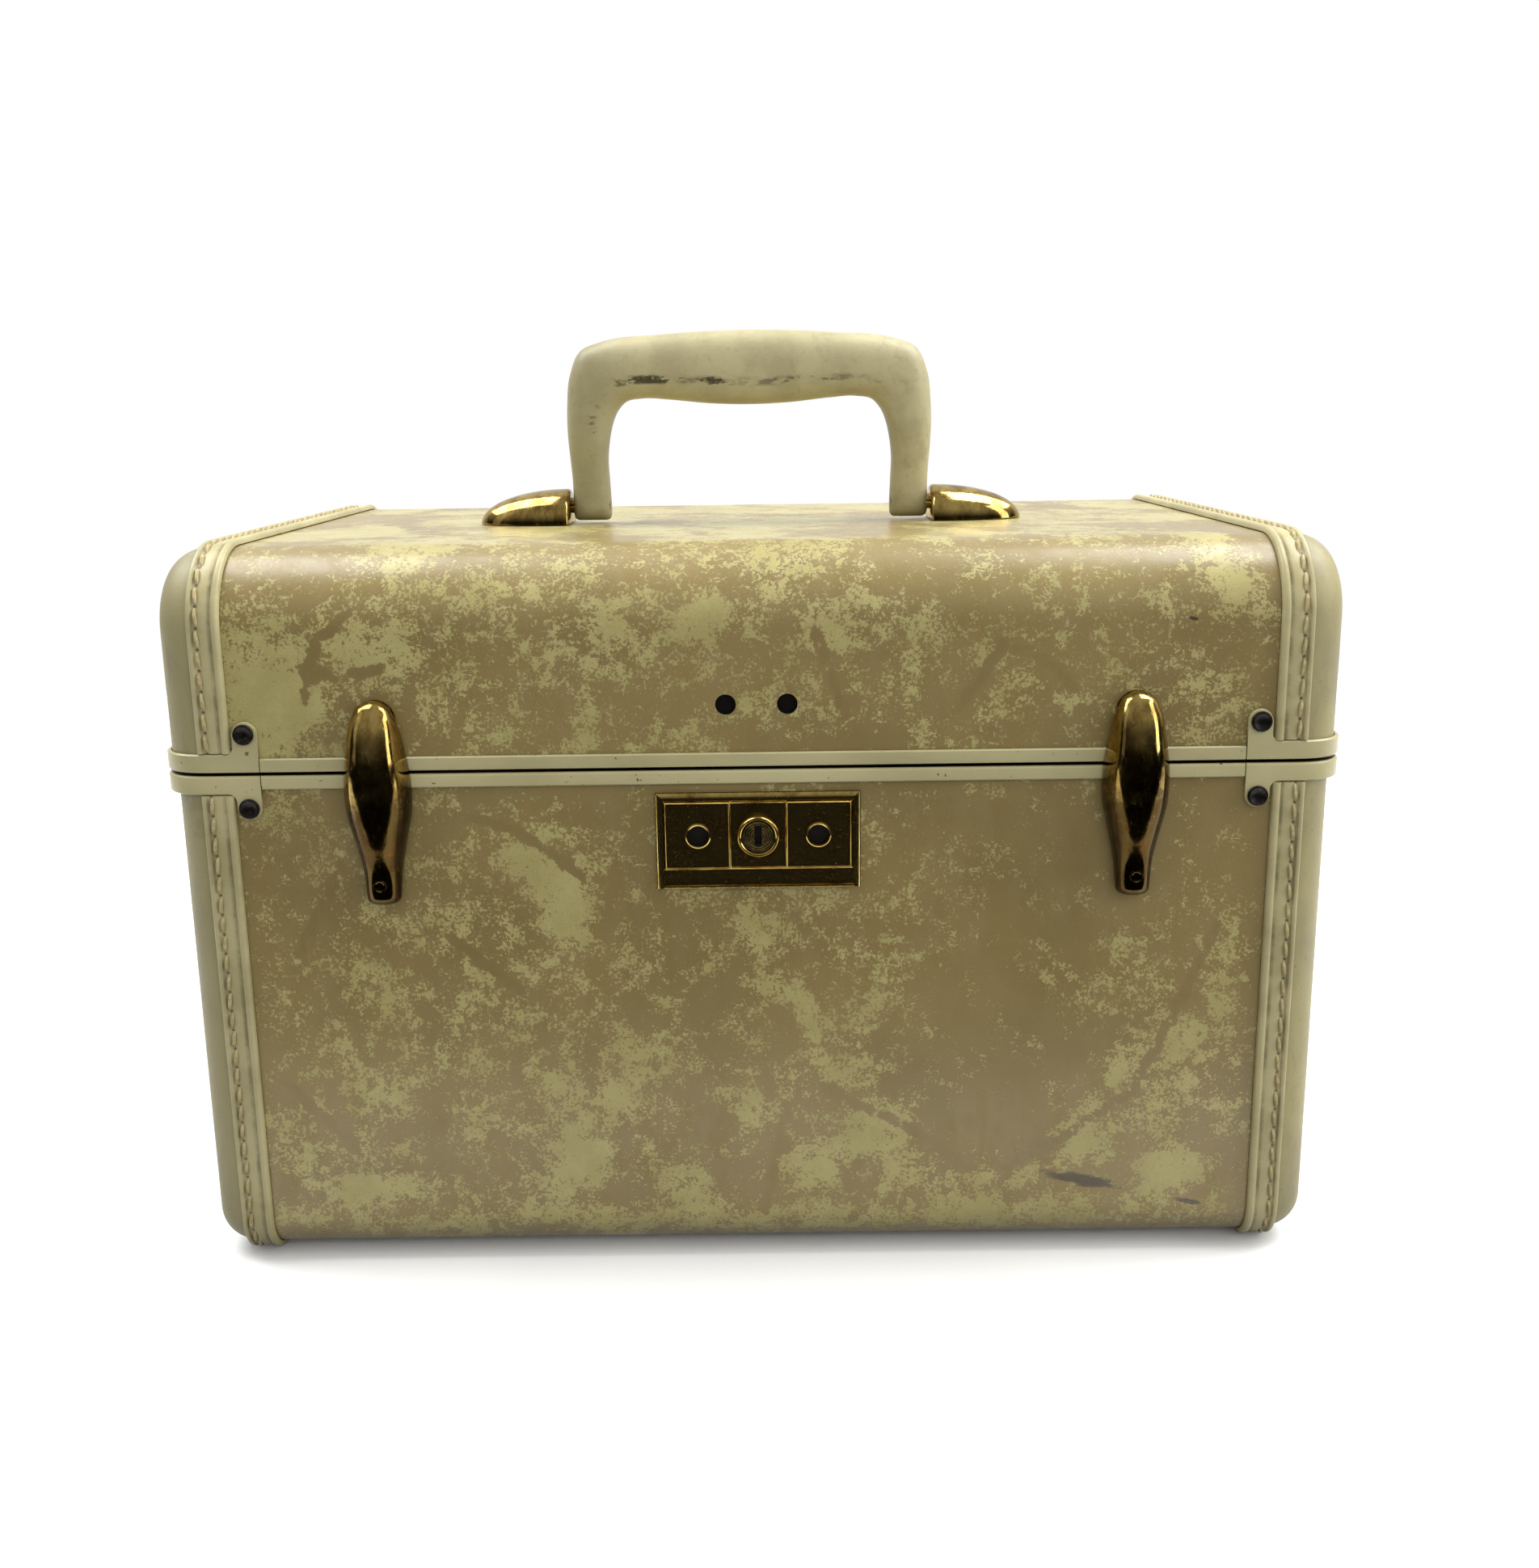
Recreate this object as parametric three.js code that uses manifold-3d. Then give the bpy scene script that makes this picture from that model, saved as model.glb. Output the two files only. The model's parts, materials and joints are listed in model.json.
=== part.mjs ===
// Hard-shell train case, about 1955: a fibreboard shell in two halves, moulded end caps sewn on
// under vinyl bindings, painted steel rims along the seam, brass latches and lock, and a plastic
// handle. Millimetres, +Z up, -Y is the front. The origin is on the ground below the middle.
import * as THREE from "three";
import { mergeVertices } from "three/addons/utils/BufferGeometryUtils.js";
import Module from "manifold-3d";

const wasm = await Module();
wasm.setup();

// Driving sizes of the case
const caseLength = 341.8;
const caseDepth = 210;
const baseHeight = 153.5;
const lidHeight = 63.5;
const topRadius = 22.8;
const bottomRadius = 13.5;
const endRadius = 15;
const baseEndTrim = 1.2; // the base's ends stop short of the lid's
const endSquareness = 2.5; // 2 rolls the ends over round, more makes them fuller
const shellWall = 3;
const capWall = 2.2;
const liningWall = 1.5;
const fit = 0.3; // gap between pieces that touch
const seamGap = 0.9; // between the two rims
const overrun = 40; // how far a cutting tool runs past what it cuts

// Driving sizes of what is fixed on the case
const bindingFromEnd = 20.9; // inner edge of the binding, from the case's end
const bindingWidth = 9.4;
const bindingProud = 2;
const frontRimHeight = 4.1;
const endRimHeight = 5.5;
const rimSheet = 1.1;
const capJointShare = 0.65; // where a cap butts against the shell, across the binding

const half = 0.5;
const third = 1 / 3;
const quarterTurn = Math.PI / 2;
const seamZ = bindingProud + baseHeight;
const topZ = seamZ + lidHeight;
const frontY = -caseDepth * half;
const backY = caseDepth * half;
const halfLength = caseLength * half;
const bindingFrom = halfLength - bindingFromEnd;
const capFrom = bindingFrom + bindingWidth * capJointShare;
const sideNames = { left: -1, right: 1 };

const brass = { color: 0xb08a3a, roughness: 0.25, metalness: 1 };
const finishes = {
  shell: { color: 0xc9b387, roughness: 0.5, metalness: 0 },
  cap: { color: 0xb8b292, roughness: 0.6, metalness: 0 },
  binding: { color: 0xc2bb98, roughness: 0.5, metalness: 0 },
  rim: { color: 0xc4bf9a, roughness: 0.4, metalness: 0.1 },
  rivet: { color: 0x3a2a1e, roughness: 0.45, metalness: 0.6 },
  brass,
  steel: { color: 0x9a9a98, roughness: 0.35, metalness: 1 },
  handle: { color: 0xc8c3a4, roughness: 0.45, metalness: 0 },
  lining: { color: 0xcdb48f, roughness: 0.95, metalness: 0 },
  mirror: { color: 0xdfe4e6, roughness: 0.03, metalness: 1 },
  tray: { color: 0xd9cfb2, roughness: 0.4, metalness: 0 },
};

const model = new THREE.Group();

// A closed geometry as a solid that can be cut and joined.
function solidOf(geometry) {
  const bare = geometry.clone();
  for (const name of Object.keys(bare.attributes)) {
    if (name !== "position") bare.deleteAttribute(name);
  }
  const merged = mergeVertices(bare);
  return new wasm.Manifold(
    new wasm.Mesh({
      numProp: 3,
      vertProperties: merged.attributes.position.array,
      triVerts: new Uint32Array(merged.index.array),
    }),
  );
}

// Adds a solid to the model as a named piece.
function addPiece(name, finish, solid) {
  const cut = solid.getMesh();
  const geometry = new THREE.BufferGeometry();
  geometry.setAttribute("position", new THREE.BufferAttribute(cut.vertProperties, 3));
  geometry.setIndex(new THREE.BufferAttribute(cut.triVerts, 1));
  const mesh = new THREE.Mesh(geometry, new THREE.MeshStandardMaterial(finishes[finish]));
  mesh.name = name;
  model.add(mesh);
}

// A box between two corners.
function block([x0, x1], [y0, y1], [z0, z1]) {
  const box = new THREE.BoxGeometry(x1 - x0, y1 - y0, z1 - z0);
  return solidOf(box.translate((x0 + x1) * half, (y0 + y1) * half, (z0 + z1) * half));
}

// A round bar along X, Y or Z through a point.
function bar(axis, [x, y, z], radius, length, sides = 20) {
  const round = new THREE.CylinderGeometry(radius, radius, length, sides);
  if (axis === "x") round.rotateZ(quarterTurn);
  if (axis === "z") round.rotateX(quarterTurn);
  return solidOf(round.translate(x, y, z));
}

// A flat outline in X and Z, drawn on the front, as a plate that reaches from y0 back to y1.
function frontPlate(outline, y0, y1, curveSegments = 8) {
  const plate = new THREE.ExtrudeGeometry(outline, {
    depth: y1 - y0,
    bevelEnabled: false,
    curveSegments,
  });
  return solidOf(plate.rotateX(quarterTurn).translate(0, y1, 0));
}

// A flat outline in Y and Z as a plate that reaches from x by its thickness.
function sidePlate(outline, x, thickness, curveSegments = 10) {
  const plate = new THREE.ExtrudeGeometry(outline, {
    depth: thickness,
    bevelEnabled: false,
    curveSegments,
  });
  const turned = new THREE.Matrix4().set(0, 0, 1, 0, 1, 0, 0, 0, 0, 1, 0, 0, 0, 0, 0, 1);
  return solidOf(plate.applyMatrix4(turned).translate(x, 0, 0));
}

// A flat outline in X and Y as a slab between two heights.
function levelSlab(outline, from, to, curveSegments = 6) {
  const slab = new THREE.ExtrudeGeometry(outline, {
    depth: to - from,
    bevelEnabled: false,
    curveSegments,
  });
  return solidOf(slab.translate(0, 0, from));
}

// A rectangle with round corners, centred on (x, y).
function roundedRectangle(x, y, width, height, radius) {
  const shape = new THREE.Shape();
  const [right, top] = [x + width * half, y + height * half];
  const [left, bottom] = [x - width * half, y - height * half];
  shape.moveTo(left + radius, bottom);
  shape.lineTo(right - radius, bottom);
  shape.absarc(right - radius, bottom + radius, radius, -quarterTurn, 0, false);
  shape.absarc(right - radius, top - radius, radius, 0, quarterTurn, false);
  shape.absarc(left + radius, top - radius, radius, quarterTurn, 2 * quarterTurn, false);
  shape.absarc(left + radius, bottom + radius, radius, 2 * quarterTurn, 3 * quarterTurn, false);
  return shape;
}

// Rings of points, each running anticlockwise seen from where the rings lead, as a closed skin.
function skinOf(rings) {
  const count = rings[0].length;
  const points = rings.flat();
  const middleOf = (ring) =>
    ring
      .reduce((sum, point) => sum.add(point), new THREE.Vector3())
      .divideScalar(count);
  points.push(middleOf(rings[0]), middleOf(rings[rings.length - 1]));
  const index = [];
  for (let ring = 0; ring + 1 < rings.length; ring++) {
    for (let j = 0; j < count; j++) {
      const next = (j + 1) % count;
      const [a, b] = [ring * count + j, ring * count + next];
      index.push(a, b, b + count, a, b + count, a + count);
    }
  }
  const lastRing = (rings.length - 1) * count;
  for (let j = 0; j < count; j++) {
    const next = (j + 1) % count;
    index.push(points.length - 2, next, j);
    index.push(points.length - 1, lastRing + j, lastRing + next);
  }
  const geometry = new THREE.BufferGeometry().setFromPoints(points);
  geometry.setIndex(index);
  return geometry;
}

// The case's section in Y and Z, drawn in by an inset: straight sides and four round corners.
const cornerSteps = 6;
const leastRadius = 1.2;

function sectionRing(x, inset) {
  const ring = [];
  const [reach, top] = [caseDepth * half - inset, topZ - inset];
  const bottom = bindingProud + inset;
  const corners = [
    [1, bottom, bottomRadius, -1],
    [1, top, topRadius, 0],
    [-1, top, topRadius, 1],
    [-1, bottom, bottomRadius, 2],
  ];
  for (const [side, edge, fullRadius, turn] of corners) {
    const radius = Math.max(fullRadius - inset, leastRadius);
    const centreZ = edge === top ? top - radius : bottom + radius;
    for (let step = 0; step <= cornerSteps; step++) {
      const angle = (turn + step / cornerSteps) * quarterTurn;
      const y = side * (reach - radius) + radius * Math.cos(angle);
      ring.push(new THREE.Vector3(x, y, centreZ + radius * Math.sin(angle)));
    }
  }
  return ring;
}

// The whole closed case, drawn in by an inset, with its ends rolled over by the end radius and
// trimmed.
const endSteps = 4;

function caseBody(inset, trim = 0) {
  const rings = [];
  for (const side of [-1, 1]) {
    for (let step = 0; step <= endSteps; step++) {
      const share = side < 0 ? 1 - step / endSteps : step / endSteps;
      const angle = share * quarterTurn;
      const roll = endRadius - inset;
      const along = roll * Math.sin(angle) ** (2 / endSquareness);
      const drawnIn = endRadius - roll * Math.abs(Math.cos(angle)) ** (2 / endSquareness);
      rings.push(sectionRing(side * (halfLength - trim - endRadius + along), drawnIn));
    }
  }
  return solidOf(skinOf(rings));
}

// The wall between two insets, kept between two lengths, depths and heights.
const wholeRange = [-2 * caseDepth, 2 * caseDepth];

function caseWall(outerInset, innerInset, xRange, zRange, yRange = wholeRange, trim = 0) {
  const wall = caseBody(outerInset, trim).subtract(caseBody(innerInset, trim));
  return wall.intersect(block(xRange, yRange, zRange));
}

// Each half has a top side or a bottom side of the seam: 1 for the lid and -1 for the base.
const halves = { base: -1, lid: 1 };
const farAway = caseLength;

function zRangeFrom(side, clearance) {
  const start = seamZ + side * clearance;
  return side > 0 ? [start, start + farAway] : [start - farAway, start];
}

function xRangeFrom(side, from, to = farAway) {
  return side > 0 ? [from, to] : [-to, -from];
}

const rimFloor = seamGap * half + rimSheet; // height of a rim's flat web above the seam
const shellFrom = rimFloor + fit;
const liningFrom = shellWall + fit; // insets of the lining's outer and inner faces
const liningInside = liningFrom + liningWall;

// Rivets through the tabs of the rims
const tabFromBinding = 4.4; // middle of a tab from the binding's inner edge
const tabCentre = bindingFrom - tabFromBinding;
const tabWidth = 7.1;
const tabs = {
  base: { reach: 13.5, rivetRise: 10 },
  lid: { reach: 15.4, rivetRise: 11.8 },
};
const rivetHeadRadius = 3;
const rivetShankRadius = 1.5;
const rivetDish = 0.5;
const rivetHead = 1.1;

// Lock on the front of the base
const lockX = 1.2;
const lockPlateWidth = 59.4;
const lockPlateHeight = 28.9;
const lockPlateDrop = 21.5; // middle of the plate below the seam
const lockPlateZ = seamZ - lockPlateDrop;
const lockPlateSheet = 0.9;
const lockFrameWidth = 1.4;
const lockFrameRise = 0.8;
const padWidth = 19.6;
const padHeight = 20.5;
const padOffset = 17.7; // middle of a raised pad from the middle of the plate
const padRise = 1.1;
const barrelDrop = 19.9; // middle of the barrel below the seam
const barrelZ = seamZ - barrelDrop;
const barrelRadius = 6.2;
const barrelRise = 2.6;
const barrelNeck = 5.5;
const plugRadius = 4.7;
const plugInset = 0.5;
const keySlotWidth = 2.2;
const keySlotHeight = 6.2;
const keySlotRise = 0.4; // middle of the slot above the middle of the plug
const eyeletOffset = 17.5;
const eyeletRadius = 3.8;
const eyeletBore = 3;
const eyeletTube = 0.5;
const eyeletRise = 0.9;

// Two open holes in the front of the lid
const lidHoles = { radius: 3, spacing: 17.7, rise: 18.4 };

// Front latches
const latchMiddleX = 1;
const latchFromEnd = 61.9;
const latchOffset = halfLength - latchFromEnd;
const latchTopRise = 21.5; // above the seam
const latchTop = seamZ + latchTopRise;
const latchPivotDrop = 35.9; // below the seam
const latchPivotZ = seamZ - latchPivotDrop;
const latchPivotOut = 3.3; // pivot in front of the shell
const latchFootRadius = 3;

// Back hinges
const hingeFromEnd = 78.9;
const hingeOffset = halfLength - hingeFromEnd;
const hingeWidth = 36;
const hingeLeafHeight = 17;
const hingeSheet = 1.2;
const knuckleRadius = 3.6;
const hingePinRadius = 1.4;
const knuckleCount = 3;
const hingeHeadShare = 1.6; // of a pin's head to the pin
const hingeY = backY + fit + rimSheet + fit + knuckleRadius;

// Lock case inside the front wall
const lockCaseWidth = 30;
const lockCaseHeight = 21;
const lockCaseDepth = 5.4;
const lockCaseSheet = 0.8;

function shellCutters(name) {
  const cutters = [];
  const side = halves[name];
  const wallY = frontY + shellWall * half;
  const through = shellWall + overrun * third;
  for (const end of Object.values(sideNames)) {
    const place = [end * tabCentre, wallY, seamZ + side * tabs[name].rivetRise];
    cutters.push(bar("y", place, rivetShankRadius + fit, through));
  }
  if (side > 0) {
    for (const end of Object.values(sideNames)) {
      const place = [lockX + end * lidHoles.spacing * half, wallY, seamZ + lidHoles.rise];
      cutters.push(bar("y", place, lidHoles.radius, through, 32));
    }
  } else {
    cutters.push(bar("y", [lockX, wallY, barrelZ], barrelNeck + fit, through, 32));
    for (const end of Object.values(sideNames)) {
      const place = [lockX + end * eyeletOffset, wallY, barrelZ];
      cutters.push(bar("y", place, eyeletBore + eyeletTube + fit, through, 24));
    }
  }
  return cutters;
}

// Shells: the fibreboard panel that wraps front, back and top or bottom of each half.
for (const [name, side] of Object.entries(halves)) {
  let shell = caseWall(0, shellWall, [fit - capFrom, capFrom - fit], zRangeFrom(side, shellFrom));
  for (const cutter of shellCutters(name)) shell = shell.subtract(cutter);
  addPiece(`${name}_shell`, "shell", shell);
}

// End caps: deep-drawn, rolled over at the edge, one at each end of each half.
const endTrims = { base: baseEndTrim, lid: 0 };

for (const [name, side] of Object.entries(halves)) {
  const zRange = zRangeFrom(side, shellFrom);
  for (const [end, sign] of Object.entries(sideNames)) {
    const xRange = xRangeFrom(sign, capFrom);
    const cap = caseWall(0, capWall, xRange, zRange, wholeRange, endTrims[name]);
    addPiece(`${name}_cap_${end}`, "cap", cap);
  }
}

// Bindings: vinyl strips sewn over the joint of shell and cap, with a bead at each edge.
const beadWidth = 2.4;
const lipWidth = 1.6;
const stripProud = 1.3;
const lipProud = 1.7;

for (const [name, side] of Object.entries(halves)) {
  const zRange = zRangeFrom(side, seamGap * half + endRimHeight + fit);
  const bands = [
    [bindingProud, bindingFrom, bindingFrom + beadWidth],
    [stripProud, bindingFrom, bindingFrom + bindingWidth],
    [lipProud, bindingFrom + bindingWidth - lipWidth, bindingFrom + bindingWidth],
  ];
  for (const [end, sign] of Object.entries(sideNames)) {
    let binding = null;
    for (const [proud, from, to] of bands) {
      const band = caseWall(-proud, -fit, xRangeFrom(sign, from, to), zRange);
      binding = binding ? binding.add(band) : band;
    }
    addPiece(`${name}_binding_${end}`, "binding", binding);
  }
}

// Rims: folded steel along the seam. A skirt covers the shell's edge, a web lies across it, and
// the base's rims also carry a tongue that stands inside the lid.
const tongueHeight = 2;
const tongueSheet = 1;
const rimOut = -fit - rimSheet;
const webInside = liningInside + fit;

function rimPiece(side, skirtHeight, xRange, yRange) {
  const skirt = seamGap * half + skirtHeight;
  const zSkirt = [seamZ + side * seamGap * half, seamZ + side * skirt].sort((a, b) => a - b);
  const zWeb = [seamZ + side * seamGap * half, seamZ + side * rimFloor].sort((a, b) => a - b);
  let rim = caseWall(rimOut, -fit, xRange, zSkirt, yRange);
  rim = rim.add(caseWall(rimOut, webInside + tongueSheet, xRange, zWeb, yRange));
  if (side < 0) {
    const zTongue = [seamZ - rimFloor, seamZ + tongueHeight];
    rim = rim.add(caseWall(webInside, webInside + tongueSheet, xRange, zTongue, yRange));
  } else {
    // The lid's web stops short of the tongue.
    rim = rim.subtract(caseBody(webInside - fit));
  }
  return rim;
}

const tabFrom = tabCentre - tabWidth * half;
const frontRange = [-2 * caseDepth, 0];
const backRange = [0, 2 * caseDepth];
const frontRimRange = [fit - tabFrom, tabFrom - fit];

// A tab with a round end, standing on the rim beside the corner, with a hole for its rivet.
function rimTab(name, sign) {
  const side = halves[name];
  const radius = tabWidth * half;
  const x = sign * tabCentre;
  const straight = tabs[name].reach - radius;
  const tab = new THREE.Shape();
  const startZ = seamZ + side * seamGap * half;
  const endZ = seamZ + side * straight;
  tab.moveTo(x - radius, startZ);
  tab.lineTo(x - radius, endZ);
  tab.absarc(x, endZ, radius, 2 * quarterTurn, 0, side > 0);
  tab.lineTo(x + radius, startZ);
  const plate = frontPlate(tab, frontY + rimOut, frontY - fit);
  const hole = [x, frontY, seamZ + side * tabs[name].rivetRise];
  return [plate, bar("y", hole, rivetShankRadius + fit, overrun)];
}

for (const [name, side] of Object.entries(halves)) {
  addPiece(`${name}_rim_front`, "rim", rimPiece(side, frontRimHeight, frontRimRange, frontRange));

  let backRim = rimPiece(side, frontRimHeight, frontRimRange, backRange);
  for (const sign of Object.values(sideNames)) {
    const x = sign * hingeOffset;
    const xNotch = [x - hingeWidth * half - fit, x + hingeWidth * half + fit];
    backRim = backRim.subtract(block(xNotch, [backY, backY + overrun], zRangeFrom(side, 0)));
  }
  addPiece(`${name}_rim_back`, "rim", backRim);

  for (const [end, sign] of Object.entries(sideNames)) {
    const [tab, hole] = rimTab(name, sign);
    const rim = rimPiece(side, endRimHeight, xRangeFrom(sign, tabFrom), wholeRange);
    addPiece(`${name}_rim_${end}`, "rim", rim.add(tab).subtract(hole));
  }
}

// Rivets: dished heads on the tabs, with a shank through tab and shell and a clenched inner end.
for (const [name, side] of Object.entries(halves)) {
  for (const [end, sign] of Object.entries(sideNames)) {
    const tail = shellWall + 2 * fit + rimSheet;
    const profile = [
      [0, -tail],
      [rivetShankRadius, -tail],
      [rivetShankRadius, fit],
      [rivetHeadRadius, fit],
      [rivetHeadRadius, fit + rivetHead * half],
      [rivetHeadRadius - rivetHead * half, fit + rivetHead],
      [rivetHeadRadius * half, fit + rivetHead - rivetDish],
      [0, fit + rivetHead - rivetDish],
    ];
    const points = profile.map(([radius, height]) => new THREE.Vector2(radius, height));
    const rivet = new THREE.LatheGeometry(points, 16).rotateX(2 * quarterTurn);
    rivet.translate(sign * tabCentre, frontY + rimOut, seamZ + side * tabs[name].rivetRise);
    addPiece(`${name}_rivet_${end}`, "rivet", solidOf(rivet));
  }
}

// Linings: cloth over board, against the inside of each half.
const lockCaseY = frontY + shellWall + fit; // front face of the lock case

for (const [name, side] of Object.entries(halves)) {
  const xRange = [-halfLength, halfLength];
  const zRange = zRangeFrom(side, shellFrom);
  let lining = caseWall(liningFrom, liningInside, xRange, zRange, wholeRange, endTrims[name]);
  if (side < 0) {
    const reach = lockCaseWidth * half + fit;
    const rise = lockCaseHeight * half + fit;
    lining = lining.subtract(
      block(
        [lockX - reach, lockX + reach],
        [frontY, frontY + overrun],
        [barrelZ - rise, barrelZ + rise],
      ),
    );
  }
  addPiece(`${name}_lining`, "lining", lining);
}

// Back hinges: a leaf on each half, rolled into knuckles round a pin behind the seam.
for (const [end, sign] of Object.entries(sideNames)) {
  const x = sign * hingeOffset;
  const from = x - hingeWidth * half;
  const knuckleLength = (hingeWidth - (knuckleCount - 1) * fit) / knuckleCount;
  for (const [name, side] of Object.entries(halves)) {
    const zLeaf = [seamZ + side * fit, seamZ + side * hingeLeafHeight].sort((a, b) => a - b);
    const leafY = [backY + fit, backY + fit + hingeSheet];
    let leaf = block([from, from + hingeWidth], leafY, zLeaf);
    for (let knuckle = 0; knuckle < knuckleCount; knuckle++) {
      const start = from + knuckle * (knuckleLength + fit);
      const middle = start + knuckleLength * half;
      const mine = knuckle % 2 === (side < 0 ? 0 : 1);
      if (mine) {
        const zArm = [seamZ + side * fit, seamZ + side * knuckleRadius].sort((a, b) => a - b);
        leaf = leaf.add(block([start, start + knuckleLength], [backY + fit, hingeY], zArm));
        leaf = leaf.add(bar("x", [middle, hingeY, seamZ], knuckleRadius, knuckleLength, 24));
      }
    }
    leaf = leaf.subtract(
      bar("x", [x, hingeY, seamZ], hingePinRadius + fit, hingeWidth + overrun, 20),
    );
    if (side > 0) {
      // Room for the other leaf's outer knuckles.
      for (const knuckle of [0, knuckleCount - 1]) {
        const start = from + knuckle * (knuckleLength + fit);
        const middle = start + knuckleLength * half;
        const place = [middle, hingeY, seamZ];
        leaf = leaf.subtract(bar("x", place, knuckleRadius + fit, knuckleLength + 2 * fit));
      }
    } else {
      const room = [x, hingeY, seamZ];
      leaf = leaf.subtract(bar("x", room, knuckleRadius + fit, knuckleLength + 2 * fit, 24));
    }
    addPiece(`hinge_leaf_${name}_${end}`, "brass", leaf);
  }
  const pinHead = hingePinRadius * hingeHeadShare;
  let pin = bar("x", [x, hingeY, seamZ], hingePinRadius, hingeWidth + 2 * fit, 16);
  for (const head of [-1, 1]) {
    const headX = x + head * (hingeWidth * half + fit + hingeSheet * half);
    pin = pin.add(bar("x", [headX, hingeY, seamZ], pinHead, hingeSheet, 16));
  }
  addPiece(`hinge_pin_${end}`, "steel", pin);
}

// Lock plate: pressed brass with a raised frame and two raised pads beside the lock.
{
  const plateY = frontY - fit;
  const outside = roundedRectangle(
    lockX,
    lockPlateZ,
    lockPlateWidth,
    lockPlateHeight,
    lockFrameWidth * half,
  );
  const inside = roundedRectangle(
    lockX,
    lockPlateZ,
    lockPlateWidth - 2 * lockFrameWidth,
    lockPlateHeight - 2 * lockFrameWidth,
    lockFrameWidth * half,
  );
  const face = plateY - lockPlateSheet;
  let plate = frontPlate(outside, face - lockFrameRise, plateY, 3);
  plate = plate.subtract(frontPlate(inside, face - lockFrameRise - overrun, face, 3));
  for (const sign of Object.values(sideNames)) {
    const x = lockX + sign * padOffset;
    const pad = roundedRectangle(x, barrelZ, padWidth, padHeight, lockFrameWidth * half);
    plate = plate.add(frontPlate(pad, face - padRise, plateY, 3));
    const eyelet = [lockX + sign * eyeletOffset, frontY, barrelZ];
    plate = plate.subtract(bar("y", eyelet, eyeletBore + eyeletTube + fit, overrun, 24));
  }
  plate = plate.subtract(bar("y", [lockX, frontY, barrelZ], barrelNeck + fit, overrun, 32));
  addPiece("lock_plate", "brass", plate);
}

// A turned part on the front, from a profile of radius and height in front of the shell.
function turnedOnFront(profile, x, z, segments) {
  const points = profile.map(([radius, height]) => new THREE.Vector2(radius, height));
  const turned = new THREE.LatheGeometry(points, segments).rotateX(2 * quarterTurn);
  return solidOf(turned.translate(x, frontY, z));
}

// Eyelets: tubular rivets that hold the lock plate on the shell.
for (const [end, sign] of Object.entries(sideNames)) {
  const seat = fit + lockPlateSheet + padRise + fit;
  const tube = eyeletBore + eyeletTube;
  const profile = [
    [eyeletBore, -shellWall],
    [tube, -shellWall],
    [tube, seat],
    [eyeletRadius, seat],
    [eyeletRadius, seat + eyeletRise * third],
    [tube, seat + eyeletRise],
    [eyeletBore, seat + eyeletRise * third],
    [eyeletBore, -shellWall],
  ];
  const eyelet = turnedOnFront(profile, lockX + sign * eyeletOffset, barrelZ, 24);
  addPiece(`lock_eyelet_${end}`, "brass", eyelet);
}

// Lock: a fixed barrel through plate and shell, a plug that the key turns, and its cam, which
// turns in the lock case behind the shell.
const caseFloor = shellWall + fit + lockCaseSheet;
const camSheet = 1.2;
const camReach = 9;
const camWidth = 5;
{
  const seat = fit + lockPlateSheet + fit;
  const bore = plugRadius + fit;
  const profile = [
    [bore, -shellWall],
    [barrelNeck, -shellWall],
    [barrelNeck, seat],
    [barrelRadius, seat],
    [barrelRadius, seat + barrelRise * third * 2],
    [barrelRadius - (barrelRadius - bore) * half, seat + barrelRise],
    [bore, seat + barrelRise],
    [bore, -shellWall],
  ];
  addPiece("lock_barrel", "brass", turnedOnFront(profile, lockX, barrelZ, 32));

  const plugFront = frontY - seat - barrelRise + plugInset;
  const plugBack = frontY + caseFloor + fit;
  const plugLength = plugBack - plugFront;
  const slotZ = barrelZ + keySlotRise;
  const slot = block(
    [lockX - keySlotWidth * half, lockX + keySlotWidth * half],
    [plugFront - overrun, plugFront + plugLength * half],
    [slotZ - keySlotHeight * half, slotZ + keySlotHeight * half],
  );
  const plugMiddle = [lockX, plugFront + plugLength * half, barrelZ];
  addPiece("lock_plug", "brass", bar("y", plugMiddle, plugRadius, plugLength, 28).subtract(slot));

  const cam = new THREE.Shape();
  const camTip = lockX + camReach - camWidth * half;
  cam.absarc(lockX, barrelZ, camWidth * half, quarterTurn, 3 * quarterTurn, false);
  cam.absarc(camTip, barrelZ, camWidth * half, -quarterTurn, quarterTurn, false);
  addPiece("lock_cam", "steel", frontPlate(cam, plugBack + fit, plugBack + fit + camSheet, 8));

  const [reach, rise] = [lockCaseWidth * half, lockCaseHeight * half];
  const back = lockCaseY + lockCaseDepth;
  const outside = block([lockX - reach, lockX + reach], [lockCaseY, back], [
    barrelZ - rise,
    barrelZ + rise,
  ]);
  const inside = block(
    [lockX - reach + lockCaseSheet, lockX + reach - lockCaseSheet],
    [lockCaseY + lockCaseSheet, back - lockCaseSheet],
    [barrelZ - rise + lockCaseSheet, barrelZ + rise + overrun],
  );
  const door = bar("y", [lockX, lockCaseY, barrelZ], plugRadius + fit, lockCaseDepth, 28);
  addPiece("lock_case", "steel", outside.subtract(inside).subtract(door));
}

// Latches: a bracket on the base, a domed lever that pivots at its foot, a hook inside the lever
// and a catch plate on the lid.
const latchLength = latchTop - latchPivotZ;
const latchSheet = 0.9;
const latchSteps = 9;
const latchEndSteps = 4; // rings over the foot's round, and over the tip's
const latchTipShare = 0.965; // where the tip's round starts
const latchSides = 12;
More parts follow.
